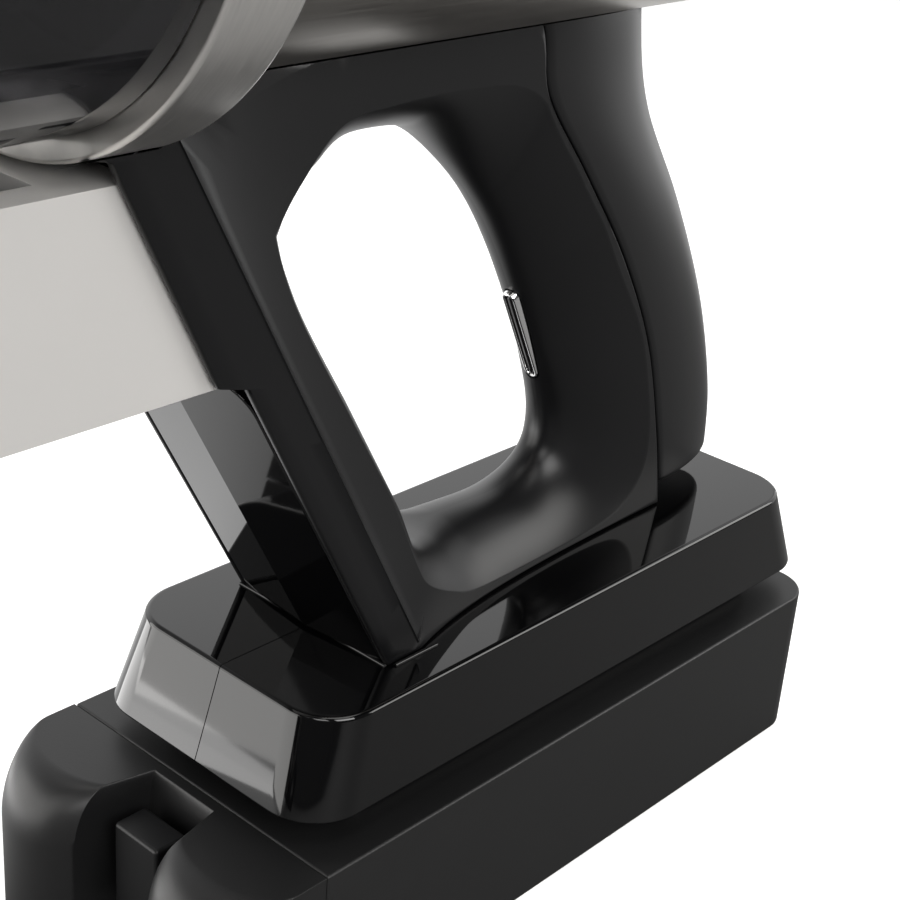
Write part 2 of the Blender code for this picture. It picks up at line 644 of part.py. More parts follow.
def make_wand():
    start = on_wand(0)
    bore = WAND_R + GAP
    nozzle = [(GAP, COLLAR_R - 1.5), (2, COLLAR_R - 1), (26, COLLAR_R), (28, COLLAR_R - 1), (28, bore), (GAP, bore)]
    collar = solid("nozzle_collar", "satin_black", turned(MOUTH, WAND_DIR, nozzle, 28))
    cut(collar, wand_block((6, 22), (15.0, 30.0), (-4.3, 4.3)))
    solid("wand_release_button", "satin_silver", wand_block((6.3, 21.7), (18.8, 23.2), (-4.0, 4.0)),
          on_wand(14, 21, 0))
    solid("wand_tube", "satin_silver",
          tube(MOUTH, WAND_DIR, SPIGOT, WAND_END, WAND_R, WAND_R - WAND_WALL, 32), start)
    top = [(28.3, COLLAR_R - 1), (30, COLLAR_R), (56, COLLAR_R - 1), (66, COLLAR_R - 3), (66, bore), (28.3, bore)]
    solid("wand_top_collar", "satin_black", turned(MOUTH, WAND_DIR, top, 28), start)
    low = [(584, COLLAR_R - 3), (592, COLLAR_R - 0.5), (639, COLLAR_R), (640, COLLAR_R - 1), (640, bore), (584, bore)]
    bottom = solid("wand_bottom_collar", "satin_black", turned(MOUTH, WAND_DIR, low, 28), start)
    cut(bottom, wand_block((612, 630), (-5.3, 5.3), (15.0, 30.0)))
    solid("head_release_button", "satin_silver", wand_block((612.3, 629.7), (-5.0, 5.0), (18.8, 23.4)),
          on_wand(621, 0, 21))


# ---- neck and floor head ----

def make_neck():
    pipe = [(602, WAND_R), (640.3, WAND_R), (640.3, COLLAR_R - 1), (656, COLLAR_R - 0.5), (668, 19.5), (672, 18.5),
            (672, 14.5), (681, 14.5), (681, 12.8), (602, 14.2)]
    solid("neck_pipe", "satin_black", turned(MOUTH, WAND_DIR, pipe, 28), on_wand(672))
    elbow = solid("neck_elbow", "satin_black", rod(PIVOT, Y_DIR, -30, 30, BARREL_R, 32), PIVOT)
    join(elbow, turned(MOUTH, WAND_DIR, [(672.3, 0), (672.3, 18.0), (700, 19.0), (700, 0)], 28),
         rod(PIVOT, Y_DIR, -38, 38, 6.0, 20))
    cut(elbow, rod(MOUTH, WAND_DIR, 660, NECK_T + 30, 14.5 + GAP, 24))


def housing_outline():
    """C-shaped section: rear wall, roof over the brush, front lip and the open brush chamber"""
    outer = [(10, 5.5), (10, 31), (30, 49)] + arc(BRUSH_AT, HOUSING_R, 118, -25, 14) + [(90.5, 5.5)]
    chamber = [(84.5, 5.5)] + arc(BRUSH_AT, CHAMBER_R, -43, 223, 18) + [(39.5, 5.5)]
    return head_outline(outer + chamber)


def cap_outline():
    outer = [(10, 5.5), (10, 31), (30, 49)] + arc(BRUSH_AT, HOUSING_R, 118, -25, 10) + [(90.5, 5.5)]
    return head_outline(outer)


def across_head(place, near, far, radius, segments=24):
    x, z = head_point(place)
    return rod((x, 0, z), Y_DIR, near, far, radius, segments)


def head_box(x, y, z):
    return box((PIVOT.x + x[0], PIVOT.x + x[1]), y, z)


def make_head():
    housing = solid("head_housing", "gloss_black", side_plate(housing_outline(), -HEAD_HALF, HEAD_HALF), PIVOT)
    cut(housing, head_box((0, 21.5), (-30.6, 30.6), (0, 60)), head_box((15, 45), (-14, 14), (12, 32)),
        across_head(DRIVE_AT, -120, -36, 11.5, 24))
    for sign in (1, -1):
        near, far = sorted((sign * 30.6, sign * 39.0))
        lug = [(12, 8), (12, 40)] + arc((0, PIVOT_Z), 10.5, 70, 200, 6) + [(-13.5, 22), (-13.5, 12), (-8, 8)]
        join(housing, side_plate(head_outline(lug), near, far))
        near, far = sorted((sign * 36.0, sign * 52.0))
        join(housing, across_head(WHEEL_AT, near, far, 4.0, 16))
    cut(housing, rod(PIVOT, Y_DIR, -38.6, 38.6, 6.0 + GAP, 20))
    sole = solid("sole_plate", "matte_black", head_box((24, 89.5), (-112, 112), (2.6, 5.2)), PIVOT)
    cut(sole, head_box((42.5, 81.5), (-108, 108), (0, 10)))
    make_end_caps()
    make_brush()
    make_wheels()


def make_end_caps():
    for name, sign in (("belt_cover", -1.0), ("head_end_cap", 1.0)):
        near, far = sorted((sign * (HEAD_HALF + GAP), sign * CAP_OUT))
        cap = solid(name, "gloss_black", side_plate(cap_outline(), near, far), PIVOT)
        inner, outer = sorted((sign * 116.4, sign * 123.8))
        x, z = head_point(ROLLER_AT)
        cut(cap, head_box((ROLLER_AT[0] - 7.1, ROLLER_AT[0] + 7.1), (inner, outer), (0, 13.6)),
            rod((x, 0, z), Y_DIR, *sorted((sign * 114.6, sign * 128)), 1.2 + GAP, 12))
        if sign < 0:
            cut(cap, belt_shape(2.4, -122.4, -110))
        else:
            cut(cap, across_head(BRUSH_AT, 110, 118, 4.0 + GAP, 20))


def belt_shape(grow, near, far):
    """Outline round both pulleys, grown outward, run along Y"""
    big, small = Vector(head_point(BRUSH_AT)), Vector(head_point(DRIVE_AT))
    away = big - small
    lean = asin((BRUSH_PULLEY_R - DRIVE_PULLEY_R) / away.length)
    base = -degrees(Vector((1.0, 0.0)).angle_signed(away))
    tip = 90.0 + degrees(lean)
    outline = arc(big, BRUSH_PULLEY_R + grow, base - tip, base + tip, 16)
    outline += arc(small, DRIVE_PULLEY_R + grow, base + tip, base + 360.0 - tip, 8)
    return side_plate(outline, near, far)


def make_brush():
    pivot = (head_point(BRUSH_AT)[0], 0.0, BRUSH_AT[1])
    profile = [(-121.4, 0), (-121.4, BRUSH_PULLEY_R), (-115.0, BRUSH_PULLEY_R), (-115.0, 5), (-107.4, 5),
               (-107.4, BRUSH_R), (107.4, BRUSH_R), (107.4, 4.0), (117.4, 4.0), (117.4, 0)]
    x, z = head_point(BRUSH_AT)
    solid("brush_roll", "bristle", turned((x, 0, z), Y_DIR, profile, 28), pivot)
    belt = solid("drive_belt", "rubber", belt_shape(1.7, *BELT_Y), PIVOT)
    cut(belt, belt_shape(GAP, BELT_Y[0] - 2, BELT_Y[1] + 2))
    x, z = head_point(DRIVE_AT)
    drive_pivot = (x, 0.0, z)
    profile = [(-121.4, 0), (-121.4, DRIVE_PULLEY_R), (-115.0, DRIVE_PULLEY_R), (-115.0, 2), (-104.0, 2),
               (-104.0, 0)]
    solid("drive_pulley", "steel", turned((x, 0, z), Y_DIR, profile, 20), drive_pivot)
    motor = solid("brush_motor", "steel", across_head(DRIVE_AT, -108, -40, 11.0, 24), PIVOT)
    cut(motor, across_head(DRIVE_AT, -112, -102, 2 + GAP, 12))


def make_wheels():
    x, z = head_point(WHEEL_AT)
    rx, rz = head_point(ROLLER_AT)
    tyre = [(39.6, 4.3), (39.6, 13), (41, 17), (42.5, WHEEL_R), (49, WHEEL_R), (50.5, 17), (51.6, 13), (51.6, 4.3)]
    roller = [(115.2, 0), (115.2, 1.2), (116.8, 1.2), (116.8, ROLLER_R), (123.4, ROLLER_R), (123.4, 1.2),
              (124.6, 1.2), (124.6, 0)]
    for side, sign in (("left", 1.0), ("right", -1.0)):
        solid("rear_wheel_" + side, "rubber",
              turned((x, 0, z), Y_DIR, [(sign * along, radius) for along, radius in tyre], 24),
              (x, sign * 45.5, z))
        solid("front_roller_" + side, "rubber",
              turned((rx, 0, rz), Y_DIR, [(sign * along, radius) for along, radius in roller], 14),
              (rx, sign * 120.0, rz))


def main():
    clear_scene()
    make_handle_frame()
    make_rear_cover()
    make_strut_panel()
    make_trigger()
    make_foot()
    make_battery()
    make_motor_shell()
    make_exhaust()
    make_bin()
    make_duct()
    make_wand()
    make_neck()
    make_head()


main()
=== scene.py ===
import json
from math import asin, atan2, cos, exp, pi, radians, sin, sqrt

import bmesh
import bpy
from mathutils import Euler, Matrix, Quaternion, Vector


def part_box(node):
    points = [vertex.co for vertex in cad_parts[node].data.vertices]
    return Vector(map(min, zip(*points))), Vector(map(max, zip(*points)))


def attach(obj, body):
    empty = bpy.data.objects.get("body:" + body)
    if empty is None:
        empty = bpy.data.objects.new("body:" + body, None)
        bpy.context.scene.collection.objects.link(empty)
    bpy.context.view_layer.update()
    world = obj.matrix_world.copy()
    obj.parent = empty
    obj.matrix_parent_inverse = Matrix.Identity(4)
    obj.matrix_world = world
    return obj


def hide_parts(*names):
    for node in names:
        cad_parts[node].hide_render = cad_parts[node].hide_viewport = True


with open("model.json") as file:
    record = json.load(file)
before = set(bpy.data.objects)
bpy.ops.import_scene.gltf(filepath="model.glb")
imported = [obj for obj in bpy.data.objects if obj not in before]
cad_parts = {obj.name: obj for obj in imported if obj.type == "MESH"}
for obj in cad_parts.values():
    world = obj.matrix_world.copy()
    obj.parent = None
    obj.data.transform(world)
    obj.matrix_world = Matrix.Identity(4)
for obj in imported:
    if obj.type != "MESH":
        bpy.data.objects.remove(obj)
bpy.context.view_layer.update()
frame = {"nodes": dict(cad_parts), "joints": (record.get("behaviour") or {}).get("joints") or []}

mm = 0.001
gap = 0.3
xAxis, yAxis, zAxis = Vector((1, 0, 0)), Vector((0, 1, 0)), Vector((0, 0, 1))


def nodeBox(name):
    low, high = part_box(name)
    return low / mm, high / mm


def joint(name):
    return next(j for j in frame["joints"] if j["name"] == name)


# places that the CAD fixes, in millimetres
shellLow, shellHigh = nodeBox("motor_shell")
bodyZ = (shellLow.z + shellHigh.z) / 2
bodyR = (shellHigh.z - shellLow.z) / 2
ringLow, ringHigh = nodeBox("front_ring")
ringR = (ringHigh.z - ringLow.z) / 2
footLow, footHigh = nodeBox("foot_shell_left")
caseLow, caseHigh = nodeBox("battery_case")
panelTop = nodeBox("strut_front_panel")[1].z + gap
wandDir = Vector(joint("wand_pull")["axis"]).normalized()
wandUp = Vector((-wandDir.z, 0, wandDir.x))
pivot = Vector(joint("head_pitch")["pos_m"]) / mm
ductLow, ductHigh = nodeBox("inlet_duct")
mouthX = ductHigh.x - 2.6
mouth = pivot - wandDir * ((pivot.x - mouthX) / wandDir.x)
print("frame loaded", len(frame["nodes"]), "nodes")


# camera and light

cameraSettings = {
    "at": (0.2519, 0.2044, 0.2301), "back": (0.68579, 0.59116, 0.42453), "roll": 4.56, "lens": 70.97}


def makeCamera(c):
    data = bpy.data.cameras.new("camera")
    data.lens = c["lens"]
    data.sensor_width = 36.0
    data.clip_start = 0.01
    cam = bpy.data.objects.new("camera", data)
    bpy.context.scene.collection.objects.link(cam)
    cam.rotation_mode = "QUATERNION"
    cam.location = c["at"]
    aim = (-Vector(c["back"])).to_track_quat("-Z", "Y")
    cam.rotation_quaternion = aim @ Quaternion((0, 0, 1), radians(c["roll"]))
    bpy.context.scene.camera = cam


lightSettings = {
    # name: place, target, width, height, watts, colour
    "frontCard": ((0.285, -0.165, 0.095), (0.075, 0.0, 0.075), 0.34, 0.18, 0.56, (1.0, 0.985, 0.96)),
    "metalBox": ((-0.85, 0.75, 0.52), (0.05, 0.0, 0.18), 0.75, 0.50, 5.5, (1.0, 0.985, 0.96)),
    "floorCard": ((0.20, -0.19, 0.002), (0.20, -0.19, 1.0), 0.22, 0.16, 0.45, (1.0, 0.99, 0.98)),
    "lobeBox": ((0.95, -0.05, 0.95), (0.09, 0.0, 0.02), 0.40, 0.40, 2.2, (1.0, 0.99, 0.97)),
    "topBox": ((0.10, 0.05, 1.25), (0.05, 0.0, 0.1), 1.1, 1.1, 8.8, (1.0, 0.99, 0.97)),
    "sideBox": ((0.35, 1.1, 0.75), (0.05, 0.0, 0.15), 0.7, 0.7, 11.0, (1.0, 0.99, 0.98)),
    "rearBox": ((-0.70, 0.10, 0.30), (-0.05, 0.0, 0.14), 0.5, 0.6, 1.0, (1.0, 1.0, 1.0)),
    "headBox": ((1.15, 0.65, 0.75), (0.85, 0.0, 0.03), 0.6, 0.6, 5.0, (1.0, 0.99, 0.98)),
}


def makeLights(settings):
    for name, (place, target, width, height, watts, colour) in settings.items():
        data = bpy.data.lights.new(name, "AREA")
        data.shape = "RECTANGLE"
        data.size = width
        data.size_y = height
        data.energy = watts
        data.color = colour
        lamp = bpy.data.objects.new(name, data)
        bpy.context.scene.collection.objects.link(lamp)
        lamp.location = place
        lamp.rotation_euler = (Vector(target) - Vector(place)).to_track_quat("-Z", "Y").to_euler()
        lamp.visible_camera = False


# glow of the studio walls by height of the direction, and how much of it is left on the dim side
studio = {"glow": [(0.0, 0.5), (0.50, 1.1), (0.62, 1.6), (0.76, 1.5), (0.86, 0.5), (1.0, 0.4)],
          "bright": (-0.35, -0.93, 0.20), "dim": 0.07, "spread": (0.30, 1.05)}


def makeWorld(s):
    world = bpy.data.worlds.new("studio")
    bpy.context.scene.world = world
    world.use_nodes = True
    tree = world.node_tree
    nodes, links = tree.nodes, tree.links
    nodes.clear()
    place = nodes.new("ShaderNodeTexCoord")
    split = nodes.new("ShaderNodeSeparateXYZ")
    shift = nodes.new("ShaderNodeMapRange")
    shift.inputs["From Min"].default_value = -1.0
    ramp = nodes.new("ShaderNodeValToRGB")
    setRamp(ramp, [(at, (v, v, v, 1)) for at, v in s["glow"]])
    toward = nodes.new("ShaderNodeVectorMath")
    toward.operation = "DOT_PRODUCT"
    toward.inputs[1].default_value = Vector(s["bright"]).normalized()
    share = nodes.new("ShaderNodeMapRange")
    share.interpolation_type = "SMOOTHSTEP"
    share.inputs["From Min"].default_value, share.inputs["From Max"].default_value = s["spread"]
    share.inputs["To Min"].default_value = s["dim"]
    seen = nodes.new("ShaderNodeLightPath")
    back = nodes.new("ShaderNodeBackground")
    out = nodes.new("ShaderNodeOutputWorld")
    links.new(place.outputs["Generated"], split.inputs[0])
    links.new(place.outputs["Generated"], toward.inputs[0])
    links.new(split.outputs["Z"], shift.inputs["Value"])
    links.new(shift.outputs["Result"], ramp.inputs["Fac"])
    links.new(toward.outputs["Value"], share.inputs["Value"])
    glow = nodes.new("ShaderNodeVectorMath")
    glow.operation = "SCALE"
    links.new(ramp.outputs["Color"], glow.inputs[0])
    links.new(share.outputs["Result"], glow.inputs["Scale"])
    links.new(tintNode(tree, seen.outputs["Is Camera Ray"], glow.outputs[0], (1, 1, 1, 1)), back.inputs["Color"])
    links.new(back.outputs[0], out.inputs["Surface"])


def setRamp(ramp, stops):
    elements = ramp.color_ramp.elements
    while len(elements) < len(stops):
        elements.new(0.5)
    for element, (at, colour) in zip(elements, stops):
        element.position = at
        element.color = colour


# shader groups used by several finishes

def shaderGroup(name, inputs, outputs):
    tree = bpy.data.node_groups.new(name, "ShaderNodeTree")
    for label, kind, value in inputs:
        socket = tree.interface.new_socket(label, in_out="INPUT", socket_type=kind)
        socket.default_value = value
    for label, kind in outputs:
        tree.interface.new_socket(label, in_out="OUTPUT", socket_type=kind)
    return tree, tree.nodes.new("NodeGroupInput"), tree.nodes.new("NodeGroupOutput")


def noiseNode(tree, vector, scale, detail=3.0):
    noise = tree.nodes.new("ShaderNodeTexNoise")
    noise.inputs["Detail"].default_value = detail
    tree.links.new(vector, noise.inputs["Vector"])
    if isinstance(scale, (int, float)):
        noise.inputs["Scale"].default_value = scale
    else:
        tree.links.new(scale, noise.inputs["Scale"])
    return noise.outputs["Fac"]


def mathNode(tree, operation, a, b, c=None, clamp=False):
    node = tree.nodes.new("ShaderNodeMath")
    node.operation = operation
    node.use_clamp = clamp
    for k, value in enumerate((a, b, c)):
        if isinstance(value, (int, float)):
            node.inputs[k].default_value = value
        elif value is not None:
            tree.links.new(value, node.inputs[k])
    return node.outputs[0]


def tintNode(tree, factor, a, b, blend="MIX"):
    node = tree.nodes.new("ShaderNodeMix")
    node.data_type = "RGBA"
    node.blend_type = blend
    for label, value in (("Factor", factor), ("A", a), ("B", b)):
        if isinstance(value, (int, float, tuple)):
            node.inputs[label].default_value = value
        else:
            tree.links.new(value, node.inputs[label])
    return node.outputs["Result"]


def makeMouldGrain():
    # fine spark-eroded grain of a moulding, with slow cloudy change in its gloss
    tree, inp, out = shaderGroup("mouldGrain", [
        ("Colour", "NodeSocketColor", (0.02, 0.02, 0.02, 1)), ("Tone Spread", "NodeSocketFloat", 0.25),
        ("Grain Scale", "NodeSocketFloat", 2600.0), ("Roughness", "NodeSocketFloat", 0.4),
        ("Gloss Spread", "NodeSocketFloat", 0.08)],
        [("Colour", "NodeSocketColor"), ("Roughness", "NodeSocketFloat"), ("Height", "NodeSocketFloat")])
    place = tree.nodes.new("ShaderNodeTexCoord").outputs["Object"]
    fine = noiseNode(tree, place, inp.outputs["Grain Scale"], 2.0)
    slow = noiseNode(tree, place, 22.0, 4.0)
    lift = mathNode(tree, "MULTIPLY_ADD", slow, inp.outputs["Tone Spread"], 1.0)
    lift = mathNode(tree, "MULTIPLY_ADD", inp.outputs["Tone Spread"], -0.5, lift)
    bright = tree.nodes.new("ShaderNodeVectorMath")
    bright.operation = "SCALE"
    tree.links.new(inp.outputs["Colour"], bright.inputs[0])
    tree.links.new(lift, bright.inputs["Scale"])
    spread = mathNode(tree, "SUBTRACT", slow, 0.5)
    rough = mathNode(tree, "MULTIPLY_ADD", spread, inp.outputs["Gloss Spread"], inp.outputs["Roughness"], True)
    tree.links.new(bright.outputs[0], out.inputs["Colour"])
    tree.links.new(rough, out.inputs["Roughness"])
    tree.links.new(fine, out.inputs["Height"])
    return tree


def makeBrushedLines():
    # long fine scratches along one direction, set by a stretched noise
    tree, inp, out = shaderGroup("brushedLines", [
        ("Colour", "NodeSocketColor", (0.4, 0.4, 0.4, 1)), ("Stretch", "NodeSocketVector", (1.0, 40.0, 40.0)),
        ("Turn", "NodeSocketVector", (0.0, 0.0, 0.0)), ("Line Scale", "NodeSocketFloat", 60.0),
        ("Roughness", "NodeSocketFloat", 0.35), ("Spread", "NodeSocketFloat", 0.2)],
        [("Colour", "NodeSocketColor"), ("Roughness", "NodeSocketFloat"), ("Height", "NodeSocketFloat")])
    place = tree.nodes.new("ShaderNodeTexCoord").outputs["Object"]
    turn = tree.nodes.new("ShaderNodeVectorRotate")
    turn.rotation_type = "EULER_XYZ"
    tree.links.new(place, turn.inputs["Vector"])
    tree.links.new(inp.outputs["Turn"], turn.inputs["Rotation"])
    stretch = tree.nodes.new("ShaderNodeVectorMath")
    stretch.operation = "MULTIPLY"
    tree.links.new(turn.outputs[0], stretch.inputs[0])
    tree.links.new(inp.outputs["Stretch"], stretch.inputs[1])
    lines = noiseNode(tree, stretch.outputs[0], inp.outputs["Line Scale"], 3.0)
    centred = mathNode(tree, "SUBTRACT", lines, 0.5)
    lift = mathNode(tree, "MULTIPLY_ADD", centred, inp.outputs["Spread"], 1.0)
    bright = tree.nodes.new("ShaderNodeVectorMath")
    bright.operation = "SCALE"
    tree.links.new(inp.outputs["Colour"], bright.inputs[0])
    tree.links.new(lift, bright.inputs["Scale"])
    rough = mathNode(tree, "MULTIPLY_ADD", centred, inp.outputs["Spread"], inp.outputs["Roughness"], True)
    tree.links.new(bright.outputs[0], out.inputs["Colour"])
    tree.links.new(rough, out.inputs["Roughness"])
    tree.links.new(lines, out.inputs["Height"])
    return tree


def makeEdgeWear():
    # a little paler and duller where edges stand proud
    tree, inp, out = shaderGroup("edgeWear", [
        ("Colour", "NodeSocketColor", (0.02, 0.02, 0.02, 1)), ("Worn Colour", "NodeSocketColor", (0.1, 0.1, 0.1, 1)),
        ("Roughness", "NodeSocketFloat", 0.4), ("Amount", "NodeSocketFloat", 0.5)],
        [("Colour", "NodeSocketColor"), ("Roughness", "NodeSocketFloat")])
    edge = tree.nodes.new("ShaderNodeNewGeometry").outputs["Pointiness"]
    mask = tree.nodes.new("ShaderNodeMapRange")
    mask.inputs["From Min"].default_value = 0.53
    mask.inputs["From Max"].default_value = 0.62
    tree.links.new(edge, mask.inputs["Value"])
    place = tree.nodes.new("ShaderNodeTexCoord").outputs["Object"]
    patchy = noiseNode(tree, place, 180.0, 3.0)
    share = mathNode(tree, "MULTIPLY", mask.outputs["Result"], patchy)
    share = mathNode(tree, "MULTIPLY", share, inp.outputs["Amount"], None, True)
    tree.links.new(tintNode(tree, share, inp.outputs["Colour"], inp.outputs["Worn Colour"]), out.inputs["Colour"])
    tree.links.new(mathNode(tree, "MULTIPLY_ADD", share, 0.2, inp.outputs["Roughness"], True),
                   out.inputs["Roughness"])
    return tree


groups = {"mouldGrain": makeMouldGrain(), "brushedLines": makeBrushedLines(), "edgeWear": makeEdgeWear()}
print("shader groups made")


# finishes

def addGroup(tree, name, **values):
    node = tree.nodes.new("ShaderNodeGroup")
    node.node_tree = groups[name]
    for label, value in values.items():
        node.inputs[label.replace("_", " ")].default_value = value
    return node


def newFinish(name, **constants):
    material = bpy.data.materials.new(name)
    material.use_nodes = True
    shader = material.node_tree.nodes["Principled BSDF"]
    for label, value in constants.items():
        shader.inputs[label.replace("_", " ")].default_value = value
    return material, material.node_tree, shader


def addBump(tree, shader, height, strength, distance):
    bump = tree.nodes.new("ShaderNodeBump")
    bump.inputs["Strength"].default_value = strength
    bump.inputs["Distance"].default_value = distance
    tree.links.new(height, bump.inputs["Height"])
    tree.links.new(bump.outputs[0], shader.inputs["Normal"])


def mouldedFinish(name, colour, roughness, worn=(0.09, 0.09, 0.09), wear=0.4, grain=2600.0, bump=0.12,
                  toneSpread=0.25, glossSpread=0.08, **constants):
    material, tree, shader = newFinish(name, **constants)
    base = addGroup(tree, "mouldGrain", Colour=(*colour, 1), Roughness=roughness, Grain_Scale=grain,
                    Tone_Spread=toneSpread, Gloss_Spread=glossSpread)
    edge = addGroup(tree, "edgeWear", Worn_Colour=(*worn, 1), Amount=wear)
    tree.links.new(base.outputs["Colour"], edge.inputs["Colour"])
    tree.links.new(base.outputs["Roughness"], edge.inputs["Roughness"])
    tree.links.new(edge.outputs["Colour"], shader.inputs["Base Color"])
    tree.links.new(edge.outputs["Roughness"], shader.inputs["Roughness"])
    addBump(tree, shader, base.outputs["Height"], bump, 0.00004)
    return material


def brushedFinish(name, colour, roughness, stretch, turn=(0, 0, 0), scale=60.0, spread=0.25, bump=0.1,
                  metallic=1.0, wear=0.3):
    material, tree, shader = newFinish(name, Metallic=metallic)
    base = addGroup(tree, "brushedLines", Colour=(*colour, 1), Roughness=roughness, Stretch=stretch, Turn=turn,
                    Line_Scale=scale, Spread=spread)
    bright = tuple(min(1.0, c * 1.35) for c in colour)
    edge = addGroup(tree, "edgeWear", Worn_Colour=(*bright, 1), Amount=wear)
    tree.links.new(base.outputs["Colour"], edge.inputs["Colour"])
    tree.links.new(base.outputs["Roughness"], edge.inputs["Roughness"])
    tree.links.new(edge.outputs["Colour"], shader.inputs["Base Color"])
    tree.links.new(edge.outputs["Roughness"], shader.inputs["Roughness"])
    addBump(tree, shader, base.outputs["Height"], bump, 0.00004)
    return material


def smokedFinish():
    # tinted clear polycarbonate with faint smears in its gloss
    material, tree, shader = newFinish("smokedClear", Metallic=0.0, Transmission_Weight=0.82, IOR=1.49)
    place = tree.nodes.new("ShaderNodeTexCoord").outputs["Object"]
    smear = noiseNode(tree, place, 28.0, 5.0)
    tint = tintNode(tree, smear, (0.035, 0.035, 0.04, 1), (0.075, 0.075, 0.08, 1))
    tree.links.new(tint, shader.inputs["Base Color"])
    tree.links.new(mathNode(tree, "MULTIPLY_ADD", smear, 0.05, 0.01), shader.inputs["Roughness"])
    return material


def feltFinish():
    material, tree, shader = newFinish("filterFelt", Metallic=0.0, Sheen_Weight=0.3)
    place = tree.nodes.new("ShaderNodeTexCoord").outputs["Object"]
    fibre = noiseNode(tree, place, 900.0, 6.0)
    soil = noiseNode(tree, place, 60.0, 3.0)
    tone = tintNode(tree, fibre, (0.50, 0.48, 0.44, 1), (0.72, 0.70, 0.66, 1))
    tree.links.new(tintNode(tree, mathNode(tree, "MULTIPLY", soil, 0.35), tone, (0.30, 0.28, 0.25, 1)),
                   shader.inputs["Base Color"])
    tree.links.new(mathNode(tree, "MULTIPLY_ADD", fibre, 0.15, 0.8, True), shader.inputs["Roughness"])
    addBump(tree, shader, fibre, 0.6, 0.0003)
    return material


def boardFinish():
    # green mask over copper runs and pads
    material, tree, shader = newFinish("circuitBoard", Metallic=0.0)
    place = tree.nodes.new("ShaderNodeTexCoord").outputs["Object"]
    brick = tree.nodes.new("ShaderNodeTexBrick")
    brick.inputs["Scale"].default_value = 120.0
    brick.inputs["Mortar Size"].default_value = 0.06
    tree.links.new(place, brick.inputs["Vector"])
    cells = tree.nodes.new("ShaderNodeTexVoronoi")
    cells.inputs["Scale"].default_value = 260.0
    tree.links.new(place, cells.inputs["Vector"])
    pads = mathNode(tree, "LESS_THAN", cells.outputs["Distance"], 0.22)
    tone = tintNode(tree, brick.outputs["Fac"], (0.012, 0.085, 0.04, 1), (0.03, 0.17, 0.08, 1))
    tree.links.new(tintNode(tree, pads, tone, (0.55, 0.42, 0.18, 1)), shader.inputs["Base Color"])
    tree.links.new(mathNode(tree, "MULTIPLY_ADD", pads, -0.15, 0.45), shader.inputs["Roughness"])
    addBump(tree, shader, pads, 0.3, 0.0001)
    return material


wandTurn = (0.0, -atan2(-wandDir.z, wandDir.x), 0.0)
finishes = {
    "shellMetal": brushedFinish("shellMetal", (0.45, 0.428, 0.40), 0.34, (1.5, 60.0, 60.0), scale=45.0, spread=0.22),
    "ringMetal": brushedFinish("ringMetal", (0.95, 0.93, 0.90), 0.33, (60.0, 5.0, 5.0), scale=40.0, spread=0.16),
    "wandMetal": brushedFinish("wandMetal", (0.56, 0.55, 0.53), 0.33, (1.0, 50.0, 50.0), wandTurn, 50.0, 0.2),
    "satinBlack": mouldedFinish("satinBlack", (0.0045, 0.0045, 0.005), 0.33, (0.05, 0.05, 0.05), IOR=1.39),
    "glossBlack": mouldedFinish("glossBlack", (0.0015, 0.0015, 0.0017), 0.045, wear=0.1, grain=900.0, bump=0.01,
                                toneSpread=0.4, glossSpread=0.03, IOR=1.5),
    "matteBlack": mouldedFinish("matteBlack", (0.006, 0.006, 0.0063), 0.40, bump=0.3, grain=2200.0),
    "silverPlastic": mouldedFinish("silverPlastic", (0.74, 0.725, 0.705), 0.36, (0.62, 0.62, 0.6), 0.3, 3200.0, 0.1,
                                   0.06, 0.05, Metallic=0.35),
    "rubber": mouldedFinish("rubber", (0.022, 0.022, 0.022), 0.72, (0.12, 0.12, 0.115), 0.6, 1500.0, 0.4),
    "bristle": mouldedFinish("bristle", (0.055, 0.055, 0.06), 0.62, (0.2, 0.2, 0.2), 0.3, 1800.0, 0.3),
    "bristleSoft": mouldedFinish("bristleSoft", (0.20, 0.20, 0.21), 0.7, (0.3, 0.3, 0.3), 0.3, 1800.0, 0.3),
    "coneBlack": mouldedFinish("coneBlack", (0.03, 0.03, 0.032), 0.4),
    # flat near-black painted shade, put where holes and recesses would show only shade
    "paintedRecessShade": mouldedFinish("paintedRecessShade", (0.004, 0.004, 0.004), 0.6, wear=0.0),
    "cellWrap": mouldedFinish("cellWrap", (0.05, 0.20, 0.30), 0.30, (0.3, 0.4, 0.45), 0.3, 600.0, 0.05),
    "chrome": brushedFinish("chrome", (0.86, 0.86, 0.86), 0.10, (1, 1, 1), scale=700.0, spread=0.05, bump=0.02),
    "steel": brushedFinish("steel", (0.48, 0.48, 0.49), 0.28, (60.0, 2.0, 60.0), scale=40.0, spread=0.25),
    "motorMetal": brushedFinish("motorMetal", (0.42, 0.42, 0.43), 0.38, (3.0, 3.0, 3.0), scale=300.0, spread=0.2),
    "smokedClear": smokedFinish(),
    "filterFelt": feltFinish(),
    "circuitBoard": boardFinish(),
}
print("finishes made", len(finishes))


# shapes: a list of points in millimetres and a list of faces

def loft(loops, roundTrip=False):
    size = len(loops[0])
    points = [p for loop in loops for p in loop]
    faces = []
    for k in range(len(loops) if roundTrip else len(loops) - 1):
        low, high = k * size, ((k + 1) % len(loops)) * size
        faces += [(low + i, low + (i + 1) % size, high + (i + 1) % size, high + i) for i in range(size)]
    if not roundTrip:
        faces += [tuple(range(size)), tuple(range(len(points) - size, len(points)))]
    return points, faces


